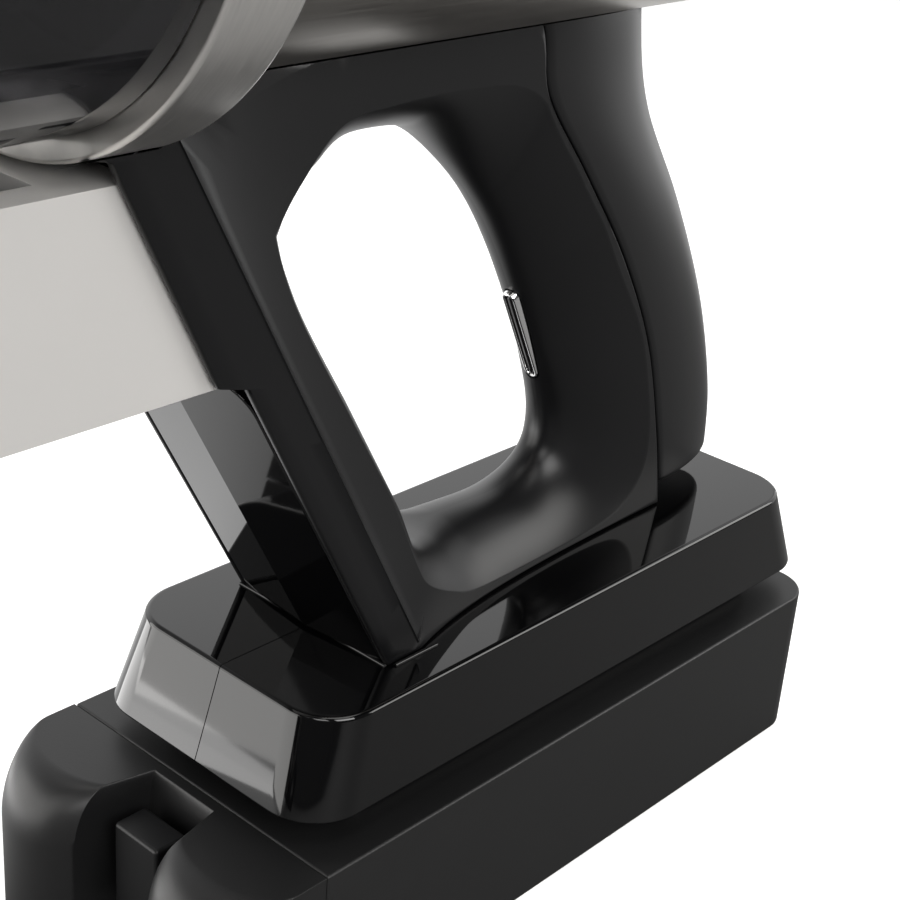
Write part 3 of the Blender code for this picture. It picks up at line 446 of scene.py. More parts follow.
def turned(start, direction, profile, segments=96):
    start, direction = Vector(start), Vector(direction).normalized()
    side = yAxis if abs(direction.y) < 0.9 else zAxis
    side = (side - direction * side.dot(direction)).normalized()
    up = direction.cross(side)
    points, rows = [], []
    for along, radius in profile:
        first = len(points)
        count = segments if radius > 0 else 1
        for k in range(count):
            turn = 2 * pi * k / segments
            points.append(start + direction * along + (side * cos(turn) + up * sin(turn)) * radius)
        rows.append([first + (k % count) for k in range(segments)])
    closed = all(radius > 0 for _, radius in profile)
    faces = []
    for a in range(len(rows) if closed else len(rows) - 1):
        row, after = rows[a], rows[(a + 1) % len(rows)]
        for k in range(segments):
            n = (k + 1) % segments
            faces.append(tuple(dict.fromkeys((row[k], row[n], after[n], after[k]))))
    return points, faces


def rod(start, direction, near, far, radius, segments=64):
    return turned(start, direction, [(near, 0), (near, radius), (far, radius), (far, 0)], segments)


def tube(start, direction, near, far, outer, inner, segments=96):
    return turned(start, direction, [(near, outer), (far, outer), (far, inner), (near, inner)], segments)


def sidePlate(outline, near, far):
    return loft([[(x, y, z) for x, z in outline] for y in (near, far)])


def flatPlate(outline, low, high):
    return loft([[(x, y, z) for x, y in outline] for z in (low, high)])


def block(x, y, z):
    return flatPlate([(x[0], y[0]), (x[1], y[0]), (x[1], y[1]), (x[0], y[1])], *z)


def arc(centre, radius, start, end, steps):
    turns = [radians(start + (end - start) * k / steps) for k in range(steps + 1)]
    return [(centre[0] + radius * cos(t), centre[1] + radius * sin(t)) for t in turns]


def rounded(x, y, radius, steps=10):
    low, high = (x[0] + radius, y[0] + radius), (x[1] - radius, y[1] - radius)
    corners = [(high[0], high[1], 0), (low[0], high[1], 90), (low[0], low[1], 180), (high[0], low[1], 270)]
    return [p for cx, cy, turn in corners for p in arc((cx, cy), radius, turn, turn + 90, steps)]


def onWand(along, across=0.0, above=0.0):
    return mouth + wandDir * along + yAxis * across + wandUp * above


def wandBlock(along, across, above):
    corners = [(across[0], above[0]), (across[1], above[0]), (across[1], above[1]), (across[0], above[1])]
    return loft([[onWand(t, y, z) for y, z in corners] for t in along])


def smoothCurve(points, steps, closed=False):
    # Catmull-Rom curve through the points
    count = len(points)
    result = []
    for k in range(count if closed else count - 1):
        if closed:
            a, b, c, d = (points[(k + n) % count] for n in (-1, 0, 1, 2))
        else:
            a, b, c, d = (points[min(max(k + n, 0), count - 1)] for n in (-1, 0, 1, 2))
        for s in range(steps):
            t = s / steps
            result.append(tuple(0.5 * (2 * q + (r - p) * t + (2 * p - 5 * q + 4 * r - w) * t ** 2
                                       + (3 * q - p - 3 * r + w) * t ** 3) for p, q, r, w in zip(a, b, c, d)))
    return result if closed else result + [tuple(points[-1])]


# pieces

def rawPiece(name, shape, finish, sharp=38.0):
    points, faces = shape
    build = bmesh.new()
    corners = [build.verts.new(Vector(p) * mm) for p in points]
    for face in faces:
        build.faces.new([corners[i] for i in face])
    bmesh.ops.remove_doubles(build, verts=build.verts, dist=0.000002)
    bmesh.ops.recalc_face_normals(build, faces=build.faces)
    mesh = bpy.data.meshes.new(name)
    build.to_mesh(mesh)
    build.free()
    mesh.shade_smooth()
    mesh.set_sharp_from_angle(angle=radians(sharp))
    mesh.materials.append(finishes[finish])
    obj = bpy.data.objects.new(name, mesh)
    bpy.context.scene.collection.objects.link(obj)
    return obj


def settle(obj):
    # turns the evaluated object into its own plain mesh
    view = bpy.context.evaluated_depsgraph_get()
    mesh = bpy.data.meshes.new_from_object(obj.evaluated_get(view))
    old = obj.data
    obj.modifiers.clear()
    obj.data = mesh
    bpy.data.meshes.remove(old)


def carve(obj, *shapes, operation="DIFFERENCE"):
    for shape in shapes:
        tool = rawPiece("tool", shape, "paintedRecessShade")
        change = obj.modifiers.new("carve", "BOOLEAN")
        change.operation = operation
        change.solver = "EXACT"
        change.object = tool
        settle(obj)
        bpy.data.objects.remove(tool)
    while len(obj.data.materials) > 1:
        obj.data.materials.pop()
    return obj


def soften(obj, width, segments=3, angle=32.0):
    bevel = obj.modifiers.new("edges", "BEVEL")
    bevel.width = width * mm
    bevel.segments = segments
    bevel.limit_method = "ANGLE"
    bevel.angle_limit = radians(angle)
    bevel.harden_normals = False
    obj.data.shade_smooth()
    weigh = obj.modifiers.new("flats", "WEIGHTED_NORMAL")
    weigh.mode = "FACE_AREA"
    weigh.weight = 80
    weigh.keep_sharp = True
    return obj


def fit(obj, body, slot, *nodes):
    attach(obj, body)
    if nodes:
        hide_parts(*nodes)
    return obj


def refined(node, body, slot, finish, width=0.4, segments=3):
    # the CAD shape with its flats merged and its edges rounded
    source = frame["nodes"][node]
    build = bmesh.new()
    build.from_mesh(source.data)
    bmesh.ops.remove_doubles(build, verts=build.verts, dist=0.000002)
    bmesh.ops.dissolve_limit(build, angle_limit=radians(1.0), verts=build.verts, edges=build.edges)
    mesh = bpy.data.meshes.new(node + "_fine")
    build.to_mesh(mesh)
    build.free()
    mesh.materials.append(finishes[finish])
    obj = bpy.data.objects.new(node + "_fine", mesh)
    bpy.context.scene.collection.objects.link(obj)
    return fit(soften(obj, width, segments), body, slot, node)


def dress(finish, *nodes):
    for node in nodes:
        obj = frame["nodes"][node]
        obj.data.materials.clear()
        obj.data.materials.append(finishes[finish])


# repeated details are made by two node trees

def inputId(tree, name):
    return next(item.identifier for item in tree.interface.items_tree
                if item.name == name and item.in_out == "INPUT")


def makeRingTree(kind):
    # rows of one small shape round the X axis, then turned and moved into place
    tree = bpy.data.node_groups.new("ringOf" + kind, "GeometryNodeTree")
    tree.interface.new_socket("Geometry", in_out="INPUT", socket_type="NodeSocketGeometry")
    sockets = [("Count", "NodeSocketInt", 12), ("Rows", "NodeSocketInt", 1), ("Radius", "NodeSocketFloat", 0.02),
               ("First", "NodeSocketFloat", 0.0), ("Pitch", "NodeSocketFloat", 0.002), ("Twist", "NodeSocketFloat", 0.0),
               ("Wobble", "NodeSocketFloat", 0.0), ("Size", "NodeSocketVector", (0.001, 0.001, 0.001)),
               ("Turn", "NodeSocketVector", (0, 0, 0)), ("Place", "NodeSocketVector", (0, 0, 0)),
               ("Finish", "NodeSocketMaterial", None)]
    for label, socketType, value in sockets:
        socket = tree.interface.new_socket(label, in_out="INPUT", socket_type=socketType)
        if value is not None:
            socket.default_value = value
    tree.interface.new_socket("Geometry", in_out="OUTPUT", socket_type="NodeSocketGeometry")
    nodes, link = tree.nodes, tree.links.new
    inp, out = nodes.new("NodeGroupInput"), nodes.new("NodeGroupOutput")
    total = mathNode2(tree, "MULTIPLY", inp.outputs["Count"], inp.outputs["Rows"])
    points = nodes.new("GeometryNodePoints")
    link(total, points.inputs["Count"])
    index = nodes.new("GeometryNodeInputIndex").outputs[0]
    row = mathNode2(tree, "FLOOR", mathNode2(tree, "DIVIDE", index, inp.outputs["Count"]), 0.0)
    share = mathNode2(tree, "DIVIDE", index, inp.outputs["Count"])
    angle = mathNode2(tree, "MULTIPLY", share, 2 * pi)
    angle = mathNode2(tree, "ADD", angle, mathNode2(tree, "MULTIPLY", row, inp.outputs["Twist"]))
    along = mathNode2(tree, "ADD", inp.outputs["First"], mathNode2(tree, "MULTIPLY", row, inp.outputs["Pitch"]))
    spot = nodes.new("ShaderNodeCombineXYZ")
    link(along, spot.inputs[0])
    link(mathNode2(tree, "MULTIPLY", inp.outputs["Radius"], mathNode2(tree, "COSINE", angle, 0.0)), spot.inputs[1])
    link(mathNode2(tree, "MULTIPLY", inp.outputs["Radius"], mathNode2(tree, "SINE", angle, 0.0)), spot.inputs[2])
    link(spot.outputs[0], points.inputs["Position"])
    if kind == "Bars":
        item = nodes.new("GeometryNodeMeshCube")
        made = item.outputs["Mesh"]
    elif kind == "Dots":
        item = nodes.new("GeometryNodeMeshCylinder")
        item.inputs["Vertices"].default_value = 8
        item.inputs["Radius"].default_value = 0.5
        item.inputs["Depth"].default_value = 1.0
        made = item.outputs["Mesh"]
    else:
        item = nodes.new("GeometryNodeMeshCone")
        item.inputs["Vertices"].default_value = 5
        item.inputs["Radius Top"].default_value = 0.32
        item.inputs["Radius Bottom"].default_value = 0.5
        item.inputs["Depth"].default_value = 1.0
        made = item.outputs["Mesh"]
    lean = nodes.new("FunctionNodeRandomValue")
    lean.data_type = "FLOAT"
    link(mathNode2(tree, "MULTIPLY", inp.outputs["Wobble"], -1.0), lean.inputs[2])
    link(inp.outputs["Wobble"], lean.inputs[3])
    lean.inputs["Seed"].default_value = 7
    face = nodes.new("ShaderNodeCombineXYZ")
    link(mathNode2(tree, "ADD", mathNode2(tree, "SUBTRACT", angle, pi / 2), lean.outputs[1]), face.inputs[0])
    spread = nodes.new("GeometryNodeInstanceOnPoints")
    link(points.outputs[0], spread.inputs["Points"])
    link(made, spread.inputs["Instance"])
    link(face.outputs[0], spread.inputs["Rotation"])
    link(inp.outputs["Size"], spread.inputs["Scale"])
    real = nodes.new("GeometryNodeRealizeInstances")
    link(spread.outputs[0], real.inputs[0])
    move = nodes.new("GeometryNodeTransform")
    link(real.outputs[0], move.inputs["Geometry"])
    link(inp.outputs["Place"], move.inputs["Translation"])
    link(inp.outputs["Turn"], move.inputs["Rotation"])
    paint = nodes.new("GeometryNodeSetMaterial")
    link(move.outputs[0], paint.inputs["Geometry"])
    link(inp.outputs["Finish"], paint.inputs["Material"])
    link(paint.outputs[0], out.inputs[0])
    return tree


def mathNode2(tree, operation, a, b):
    return mathNode(tree, operation, a, b)


ringTrees = {kind: makeRingTree(kind) for kind in ("Bars", "Dots", "Tufts")}


def grow(name, tree, values, baseMesh=None):
    # runs a node tree once and keeps its result as a plain mesh
    base = baseMesh or bpy.data.meshes.new(name)
    obj = bpy.data.objects.new(name, base)
    bpy.context.scene.collection.objects.link(obj)
    change = obj.modifiers.new("grow", "NODES")
    change.node_group = tree
    for label, value in values.items():
        change[inputId(tree, label)] = value
    settle(obj)
    return obj


def ringOf(kind, name, body, slot, finish, count, radius, size, start, direction, rows=1, first=0.0, pitch=0.0,
           twist=0.0, wobble=0.0):
    direction = Vector(direction).normalized()
    turn = xAxis.rotation_difference(direction).to_euler()
    obj = grow(name, ringTrees[kind], {
        "Count": count, "Rows": rows, "Radius": radius * mm, "First": first * mm, "Pitch": pitch * mm,
        "Twist": twist, "Wobble": wobble, "Size": tuple(s * mm for s in size), "Turn": tuple(turn),
        "Place": tuple(Vector(start) * mm), "Finish": finishes[finish]})
    return fit(obj, body, slot)


def makeScrewTree():
    # a pan head on each vertex of the base mesh, facing along its normal, with its cross recess drawn as thin dark bars
    # of painted shade
    tree = bpy.data.node_groups.new("screwHeads", "GeometryNodeTree")
    tree.interface.new_socket("Geometry", in_out="INPUT", socket_type="NodeSocketGeometry")
    for label, kind, value in (("Head Radius", "NodeSocketFloat", 0.002), ("Head Height", "NodeSocketFloat", 0.0008),
                               ("Facing", "NodeSocketVector", (0, 0, 0))):
        tree.interface.new_socket(label, in_out="INPUT", socket_type=kind).default_value = value
    tree.interface.new_socket("Steel", in_out="INPUT", socket_type="NodeSocketMaterial")
    tree.interface.new_socket("Recess Shade", in_out="INPUT", socket_type="NodeSocketMaterial")
    tree.interface.new_socket("Geometry", in_out="OUTPUT", socket_type="NodeSocketGeometry")
    nodes, link = tree.nodes, tree.links.new
    inp, out = nodes.new("NodeGroupInput"), nodes.new("NodeGroupOutput")
    head = nodes.new("GeometryNodeMeshCone")
    head.inputs["Vertices"].default_value = 20
    link(inp.outputs["Head Radius"], head.inputs["Radius Bottom"])
    link(mathNode(tree, "MULTIPLY", inp.outputs["Head Radius"], 0.8), head.inputs["Radius Top"])
    link(inp.outputs["Head Height"], head.inputs["Depth"])
    metal = nodes.new("GeometryNodeSetMaterial")
    link(head.outputs["Mesh"], metal.inputs["Geometry"])
    link(inp.outputs["Steel"], metal.inputs["Material"])
    join = nodes.new("GeometryNodeJoinGeometry")
    link(metal.outputs[0], join.inputs[0])
    long = mathNode(tree, "MULTIPLY", inp.outputs["Head Radius"], 1.05)
    thin = mathNode(tree, "MULTIPLY", inp.outputs["Head Radius"], 0.22)
    lift = mathNode(tree, "MULTIPLY", inp.outputs["Head Height"], 1.0)
    for a, b in ((long, thin), (thin, long)):
        size = nodes.new("ShaderNodeCombineXYZ")
        link(a, size.inputs[0])
        link(b, size.inputs[1])
        size.inputs[2].default_value = 0.00006
        bar = nodes.new("GeometryNodeMeshCube")
        link(size.outputs[0], bar.inputs["Size"])
        up = nodes.new("GeometryNodeTransform")
        spot = nodes.new("ShaderNodeCombineXYZ")
        link(lift, spot.inputs[2])
        link(bar.outputs["Mesh"], up.inputs["Geometry"])
        link(spot.outputs[0], up.inputs["Translation"])
        # the cross recess is not cut: these bars are painted shade laid on top of the head
        dark = nodes.new("GeometryNodeSetMaterial")
        link(up.outputs[0], dark.inputs["Geometry"])
        link(inp.outputs["Recess Shade"], dark.inputs["Material"])
        link(dark.outputs[0], join.inputs[0])
    spread = nodes.new("GeometryNodeInstanceOnPoints")
    link(inp.outputs["Geometry"], spread.inputs["Points"])
    link(join.outputs[0], spread.inputs["Instance"])
    link(inp.outputs["Facing"], spread.inputs["Rotation"])
    real = nodes.new("GeometryNodeRealizeInstances")
    link(spread.outputs[0], real.inputs[0])
    link(real.outputs[0], out.inputs[0])
    return tree


screwTree = makeScrewTree()


def screws(name, body, places, facing, radius=2.0, height=0.8):
    base = bpy.data.meshes.new(name)
    base.from_pydata([Vector(p) * mm for p in places], [], [])
    turn = zAxis.rotation_difference(Vector(facing)).to_euler()
    # the screws' cross recesses are painted shade, not cut
    obj = grow(name, screwTree, {
        "Head Radius": radius * mm, "Head Height": height * mm, "Facing": tuple(turn),
        "Steel": finishes["steel"], "Recess Shade": finishes["paintedRecessShade"]}, base)
    return fit(obj, body, "steel")


print("node trees made")


# handle: strut, saddle, grip and web round the hand hole

handle = {
    "hub": (22.0, 110.0), "strutHalf": 20.2, "gripHalf": 12.0, "taper": 24.0,
    "lean": 0.555, "strutFoot": 50.3, "creaseBack": 8.8, "recess": 3.2, "recessHalf": 18.6,
    "cheekStep": 5.8, "cheekLean": 0.514, "top": 178.0, "edge": 0.55, "crease": 0.28, "line": 0.3,
    "turns": 300, "roll": 14, "rollTurn": 46.0, "rollLow": 2.2, "rollRise": 1.5,
    # where the hole's roll meets the side, X and Z
    "rim": [(78.3, 143.0), (73.5, 130.5), (60.5, 109.0), (48.7, 89.5), (41.5, 74.5), (37.5, 69.0), (29.5, 64.2),
            (20.0, 61.0), (0.0, 59.8), (-20.0, 60.2), (-29.0, 62.6), (-34.2, 68.5), (-35.2, 76.0), (-33.0, 87.0),
            (-27.5, 102.0), (-17.0, 118.0), (-4.4, 137.2), (8.0, 152.0), (18.0, 158.0), (34.0, 159.4),
            (50.0, 159.3), (62.0, 158.0), (71.5, 151.0), (77.2, 145.6)],
    # the hole on the centre plane
    "throat": [(76.5, 142.0), (71.6, 130.5), (58.6, 109.0), (46.8, 89.5), (38.5, 76.5), (28.0, 71.6),
               (12.0, 70.4), (-1.5, 70.6), (-10.0, 75.6), (-11.2, 84.5), (-5.6, 99.7), (2.4, 116.1),
               (11.5, 130.5), (22.3, 142.0), (33.5, 150.0), (47.0, 153.5), (62.0, 153.4), (72.0, 150.2)],
    # line where the rear cover meets the frame, and the cover's back
    "seam": [(18.0, 178.0), (12.5, 166.5), (9.5, 155.0), (-3.5, 139.0), (-18.6, 119.5), (-30.9, 98.0),
             (-38.3, 75.0), (-42.0, 58.3)],
    "back": [(-27.0, 178.0), (-28.4, 163.0), (-33.5, 146.0), (-46.5, 126.5), (-57.5, 107.5), (-64.5, 92.0),
             (-69.5, 76.0), (-70.6, 63.0)],
}
footTop = footHigh.z


def strutFront(z, h=handle):
    return h["strutFoot"] + h["lean"] * (z - footTop)


def halfWidth(x, z, h=handle):
    behind = max(0.0, strutFront(z) - h["creaseBack"] - x)
    return h["gripHalf"] + (h["strutHalf"] - h["gripHalf"]) * exp(-behind / h["taper"])


def underBody(x, y, z):
    # lowers a point to just under the body's round underside
    radius = (ringR if x > shellHigh.x else bodyR) + gap
    return min(z, bodyZ - sqrt(max(radius ** 2 - y ** 2, 0.0)))


def crossing(points, hub, direction, closed=True):
    best = None
    for k in range(len(points) if closed else len(points) - 1):
        ax, az = points[k][0] - hub[0], points[k][1] - hub[1]
        nextPoint = points[(k + 1) % len(points)]
        ex, ez = nextPoint[0] - hub[0] - ax, nextPoint[1] - hub[1] - az
        span = direction[0] * ez - direction[1] * ex
        if abs(span) < 1e-9:
            continue
        reach = (ax * ez - az * ex) / span
        along = (ax * direction[1] - az * direction[0]) / span
        if reach > 0 and -1e-6 <= along <= 1 + 1e-6:
            best = reach if best is None else min(best, reach)
    return best


def handleSections(h):
    base = footTop + gap
    step = (strutFront(panelTop) + h["cheekStep"], panelTop + 1.6)
    top = (step[0] + h["cheekLean"] * (h["top"] - step[1]), h["top"])
    corners = [(strutFront(base), base), (strutFront(panelTop), panelTop), step, top]
    outline = corners + smoothCurve(h["seam"], 8)
    corners += [h["seam"][0], h["seam"][-1], (strutFront(footTop) - h["creaseBack"], base)]
    rim, throat = smoothCurve(h["rim"], 14, True), smoothCurve(h["throat"], 14, True)
    crease = [(strutFront(z) - h["creaseBack"], z) for z in (footTop - 5.0, 185.0)]
    hub = h["hub"]
    exact = sorted(atan2(z - hub[1], x - hub[0]) % (2 * pi) for x, z in corners)
    turns = [2 * pi * k / h["turns"] for k in range(h["turns"])]
    turns = sorted([t for t in turns if min(abs(t - e) for e in exact) > 0.006] + exact)
    return [handleSection(h, (cos(t), sin(t)), outline, rim, throat, crease) for t in turns]


def handleSection(h, direction, outline, rim, throat, crease):
    hub, edge = h["hub"], h["edge"]
    outer = crossing(outline, hub, direction)
    inner = min(crossing(rim, hub, direction), outer - 1.5)
    centre = min(crossing(throat, hub, direction), inner - 0.6)
    fold = crossing(crease, hub, direction, closed=False)
    folded = fold and inner + 1.0 < fold < outer - 1.0
    middle = fold if folded else inner + 0.5 * (outer - inner)
    lean = direction[0] - h["lean"] * direction[1]
    reach = h["strutFoot"] + h["lean"] * (hub[1] - footTop) - h["recess"] - hub[0]
    floor = min(outer, reach / lean) if lean > 0 else outer
    cheek = h["recessHalf"] if floor < outer else None

    def at(out, share=1.0, inset=0.0, across=None):
        x, z = hub[0] + direction[0] * out, hub[1] + direction[1] * out
        y = halfWidth(x, z) * share - inset if across is None else across
        return x, y, underBody(x, y, z)

    # a flat across the middle, then a roll that widens with the depth between throat and rim
    depth = inner - centre
    x, z = hub[0] + direction[0] * inner, hub[1] + direction[1] * inner
    half = halfWidth(x, z)
    wide = min(0.96, (h["rollLow"] + max(0.0, depth - 2.0) * h["rollRise"]) / half)
    full = radians(h["rollTurn"])
    side = [at(centre, 0.0), at(centre, 0.5 * (1 - wide))]
    for k in range(h["roll"]):
        turn = full * k / h["roll"]
        rise = (1 - cos(turn)) / (1 - cos(full))
        side.append(at(centre + depth * rise, 1 - wide + wide * sin(turn) / sin(full)))
    turn = full * 0.985
    side.append(at(centre + depth * (1 - cos(turn)) / (1 - cos(full)), 1 - wide + wide * sin(turn) / sin(full)))
    near, far = middle - h["crease"], middle + h["crease"]
    side += [at(inner), at(inner + 0.15)]
    side += [at(inner + (near - inner) * k / 4) for k in range(1, 5)]
    side += [at(middle, 1.0, -h["line"] if folded else 0.0)]
    side += [at(far + (outer - edge - far) * k / 3) for k in range(4)]
    side += [at(outer - 0.3 * edge, 1.0, 0.3 * edge), at(outer, 1.0, edge)]
    if cheek:
        side += [at(outer, across=cheek + 0.3), at(outer - 0.3, across=cheek), at(floor, across=cheek)]
        side += [at(floor, across=cheek * share) for share in (0.66, 0.33)]
    else:
        side += [at(outer, share) for share in (0.9, 0.75, 0.6, 0.4, 0.2)]
    last = at(floor, 0.0)
    return side + [last] + [(x, -y, z) for x, y, z in reversed(side[1:])]


slot = {"mid": (-3.9, 0.0, 103.0), "up": (0.46, 0.0, 0.888), "length": 22.8, "width": 3.5, "wall": 0.8, "proud": 0.6}
slotUp = Vector(slot["up"]).normalized()
slotOut = Vector((slotUp.z, 0.0, -slotUp.x))


def slotLoop(radius, depth, s=slot):
    straight = s["length"] / 2 - s["width"] / 2
    ends = arc((0, straight), radius, 0, 180, 14) + arc((0, -straight), radius, 180, 360, 14)
    return [Vector(s["mid"]) + slotOut * depth + yAxis * y + slotUp * u for y, u in ends]


def makeHandle(h):
    body = rawPiece("handleFrame", loft(handleSections(h), True), "satinBlack", 50.0)
    tabX, tabHalf = (-61.0, -30.0), 11.5
    carve(body, flatPlate(rounded(tabX, (-tabHalf, tabHalf), 5.0), footTop + gap, footTop + 3.6), operation="UNION")
    half = slot["width"] / 2
    carve(body, loft([slotLoop(half + gap, d) for d in (-4.2, 6.0)]))
    body.data.shade_smooth()
    body.data.set_sharp_from_angle(angle=radians(50))
    fit(body, "handheld", "satin_black", "handle_frame")

    seam, back = smoothCurve(h["seam"], 10), smoothCurve(h["back"], 10)
    low = nodeBox("grip_rear_cover")[0].z
    levels = [(low + 1.6 * (1 - cos(radians(15 * k))), 1.6 * (1 - sin(radians(15 * k)))) for k in range(6)]
    levels += [(low + 1.6 + (h["top"] - low - 1.6) * k / 70, 0.0) for k in range(71)]
    loops = []
    for z, inset in levels:
        front, rear = outlineX(seam, z) - gap - inset * 0.3, outlineX(back, z) + inset
        half = halfWidth(front, z) - inset
        edge = 0.5
        ring = [(front, 0.0), (front, half - edge), (front - 0.3 * edge, half - 0.3 * edge)]
        for k in range(0, 31):
            turn = radians(90 * k / 30)
            ring.append((front - edge - (front - edge - rear) * sin(turn), half * cos(turn)))
        ring += [(x, -y) for x, y in reversed(ring[1:-1])]
        loops.append([(x, y, underBody(x, y, z)) for x, y in ring])
    cover = rawPiece("gripRearCover", loft(loops), "satinBlack", 55.0)
    fit(cover, "handheld", "satin_black", "grip_rear_cover")

    half = slot["width"] / 2
    inner = half - slot["wall"]
    proud = slot["proud"]
    rim = [(half, -4.0), (half, proud - 0.4), (half - 0.12, proud - 0.1), (half - 0.4, proud),
           (inner + 0.12, proud - 0.1), (inner, proud - 0.4), (inner, -4.0)]
    bezel = rawPiece("triggerBezel", loft([slotLoop(r, d) for r, d in rim], True), "chrome")
    fit(bezel, "handheld", "chrome", "trigger_bezel")
    r = inner - gap
    cap = [(r, -2.0), (r, 0.1), (r - 0.1, 0.3), (r - 0.3, 0.4)]
    button = rawPiece("triggerButton", loft([slotLoop(radius, d) for radius, d in cap]), "glossBlack")
    fit(button, "trigger", "satin_black", "trigger_button")
    print("handle made")


def outlineX(points, z):
    for (xHigh, zHigh), (xLow, zLow) in zip(points, points[1:]):
        if zLow <= z <= zHigh:
            return xLow + (xHigh - xLow) * (z - zLow) / max(zHigh - zLow, 1e-6)
    return points[-1][0] if z < points[-1][1] else points[0][0]


panel = {"half": 18.3, "ridge": 2.0, "corner": 6.0, "thick": 2.9, "edge": 0.4, "drop": 0.5,
         "beadRadius": 0.4, "beadSide": 11.0}


def makePanel(p):
    low, high = footTop + gap, panelTop - gap - p["drop"]
    half = [(0.0, low), (p["half"], low)]
    half += arc((p["half"] - p["corner"], high - p["corner"]), p["corner"], 0, 90, 10) + [(0.0, high)]
    full = half + [(-y, z) for y, z in reversed(half[1:-1])]

    def front(y, z):
        return strutFront(z) + p["ridge"] * (1 - abs(y) / p["half"]), y, z

    faces = [tuple(range(len(half)))]
    right = [0] + [k % len(full) for k in range(len(half) - 1, len(full))]
    faces.append(tuple(right))
    count = len(full)
    points = [front(y, z) for y, z in full] + [(strutFront(z) - p["thick"], y, z) for y, z in full]
    faces.append(tuple(range(count, 2 * count)))
    faces += [(k, (k + 1) % count, count + (k + 1) % count, count + k) for k in range(count)]
    cover = rawPiece("strutFrontPanel", (points, faces), "glossBlack", 30.0)
    soften(cover, p["edge"], 4, 30.0)
    ridge = cover.data.attributes.new("sharp_edge", "BOOLEAN", "EDGE") if \
        "sharp_edge" not in cover.data.attributes else cover.data.attributes["sharp_edge"]
    for k, edge in enumerate(cover.data.edges):
        a, b = (cover.data.vertices[v].co for v in edge.vertices)
        if abs(a.y) < 1e-6 and abs(b.y) < 1e-6 and abs(a.z - b.z) > 0.02:
            ridge.data[k].value = True
    fit(cover, "handheld", "gloss_black", "strut_front_panel")

    # a fine bead where the strut stands on the foot
    r, wide = p["beadRadius"], handle["strutHalf"]
    x, z = strutFront(footTop) + r, footTop + 0.1
    front = rawPiece("strutBead", rod((x, 0, z), yAxis, 0.6 - wide, wide - 0.6, r, 16), "glossBlack")
    fit(front, "handheld", "gloss_black")
    for name, y in (("strutBeadLeft", wide + r), ("strutBeadRight", -wide - r)):
        side = rawPiece(name, rod((x - 1.6, y, z), -xAxis, 0, p["beadSide"], r, 16), "glossBlack")
        fit(side, "handheld", "gloss_black")


makeHandle(handle)
makePanel(panel)


# foot and battery

foot = {"corner": 11.0, "bevel": 1.0, "split": 0.1, "edge": 0.25}


def makeFoot(f):
    low, high = footLow.z, footTop
    topX, topY = 73.0, 28.2
    lowX, lowY = footHigh.x, footHigh.y
    drop = high - low

    def shrink(z):
        share = (z - low) / (drop - f["bevel"])
        return lowX + (topX - lowX) * share, lowY + (topY - lowY) * share

    levels = [(low, 0.5), (low + 0.15, 0.15), (low + 0.5, 0.0)]
    levels += [(low + 0.5 + (drop - f["bevel"] - 0.5) * k / 4, 0.0) for k in range(1, 5)]
    levels += [(high - f["bevel"] * (1 - sin(radians(18 * k))), f["bevel"] * (1 - cos(radians(18 * k))))
               for k in range(1, 6)]
    for name, node, sign in (("footShellLeft", "foot_shell_left", 1), ("footShellRight", "foot_shell_right", -1)):
        loops = []
        for z, inset in levels:
            x, y = shrink(min(z, high - f["bevel"]))
            ring = rounded((inset - x, x - inset), (inset - y, y - inset), f["corner"] - inset * 0.6, 14)
            loops.append([(a, sign * max(sign * b, f["split"]), z) for a, b in ring])
        half = rawPiece(name, loft(loops), "glossBlack", 40.0)
        carve(half, block((-62, 62), (-25, 25), (30, high - 4)))
        soften(half, f["edge"], 2, 40.0)
        fit(half, "handheld", "gloss_black", node)


battery = {"corner": 9.0, "edge": 0.9, "lobeX": 88.5, "lobeY": 21.3, "notchX": 82.0, "crown": 12.0, "parting": 78.5}


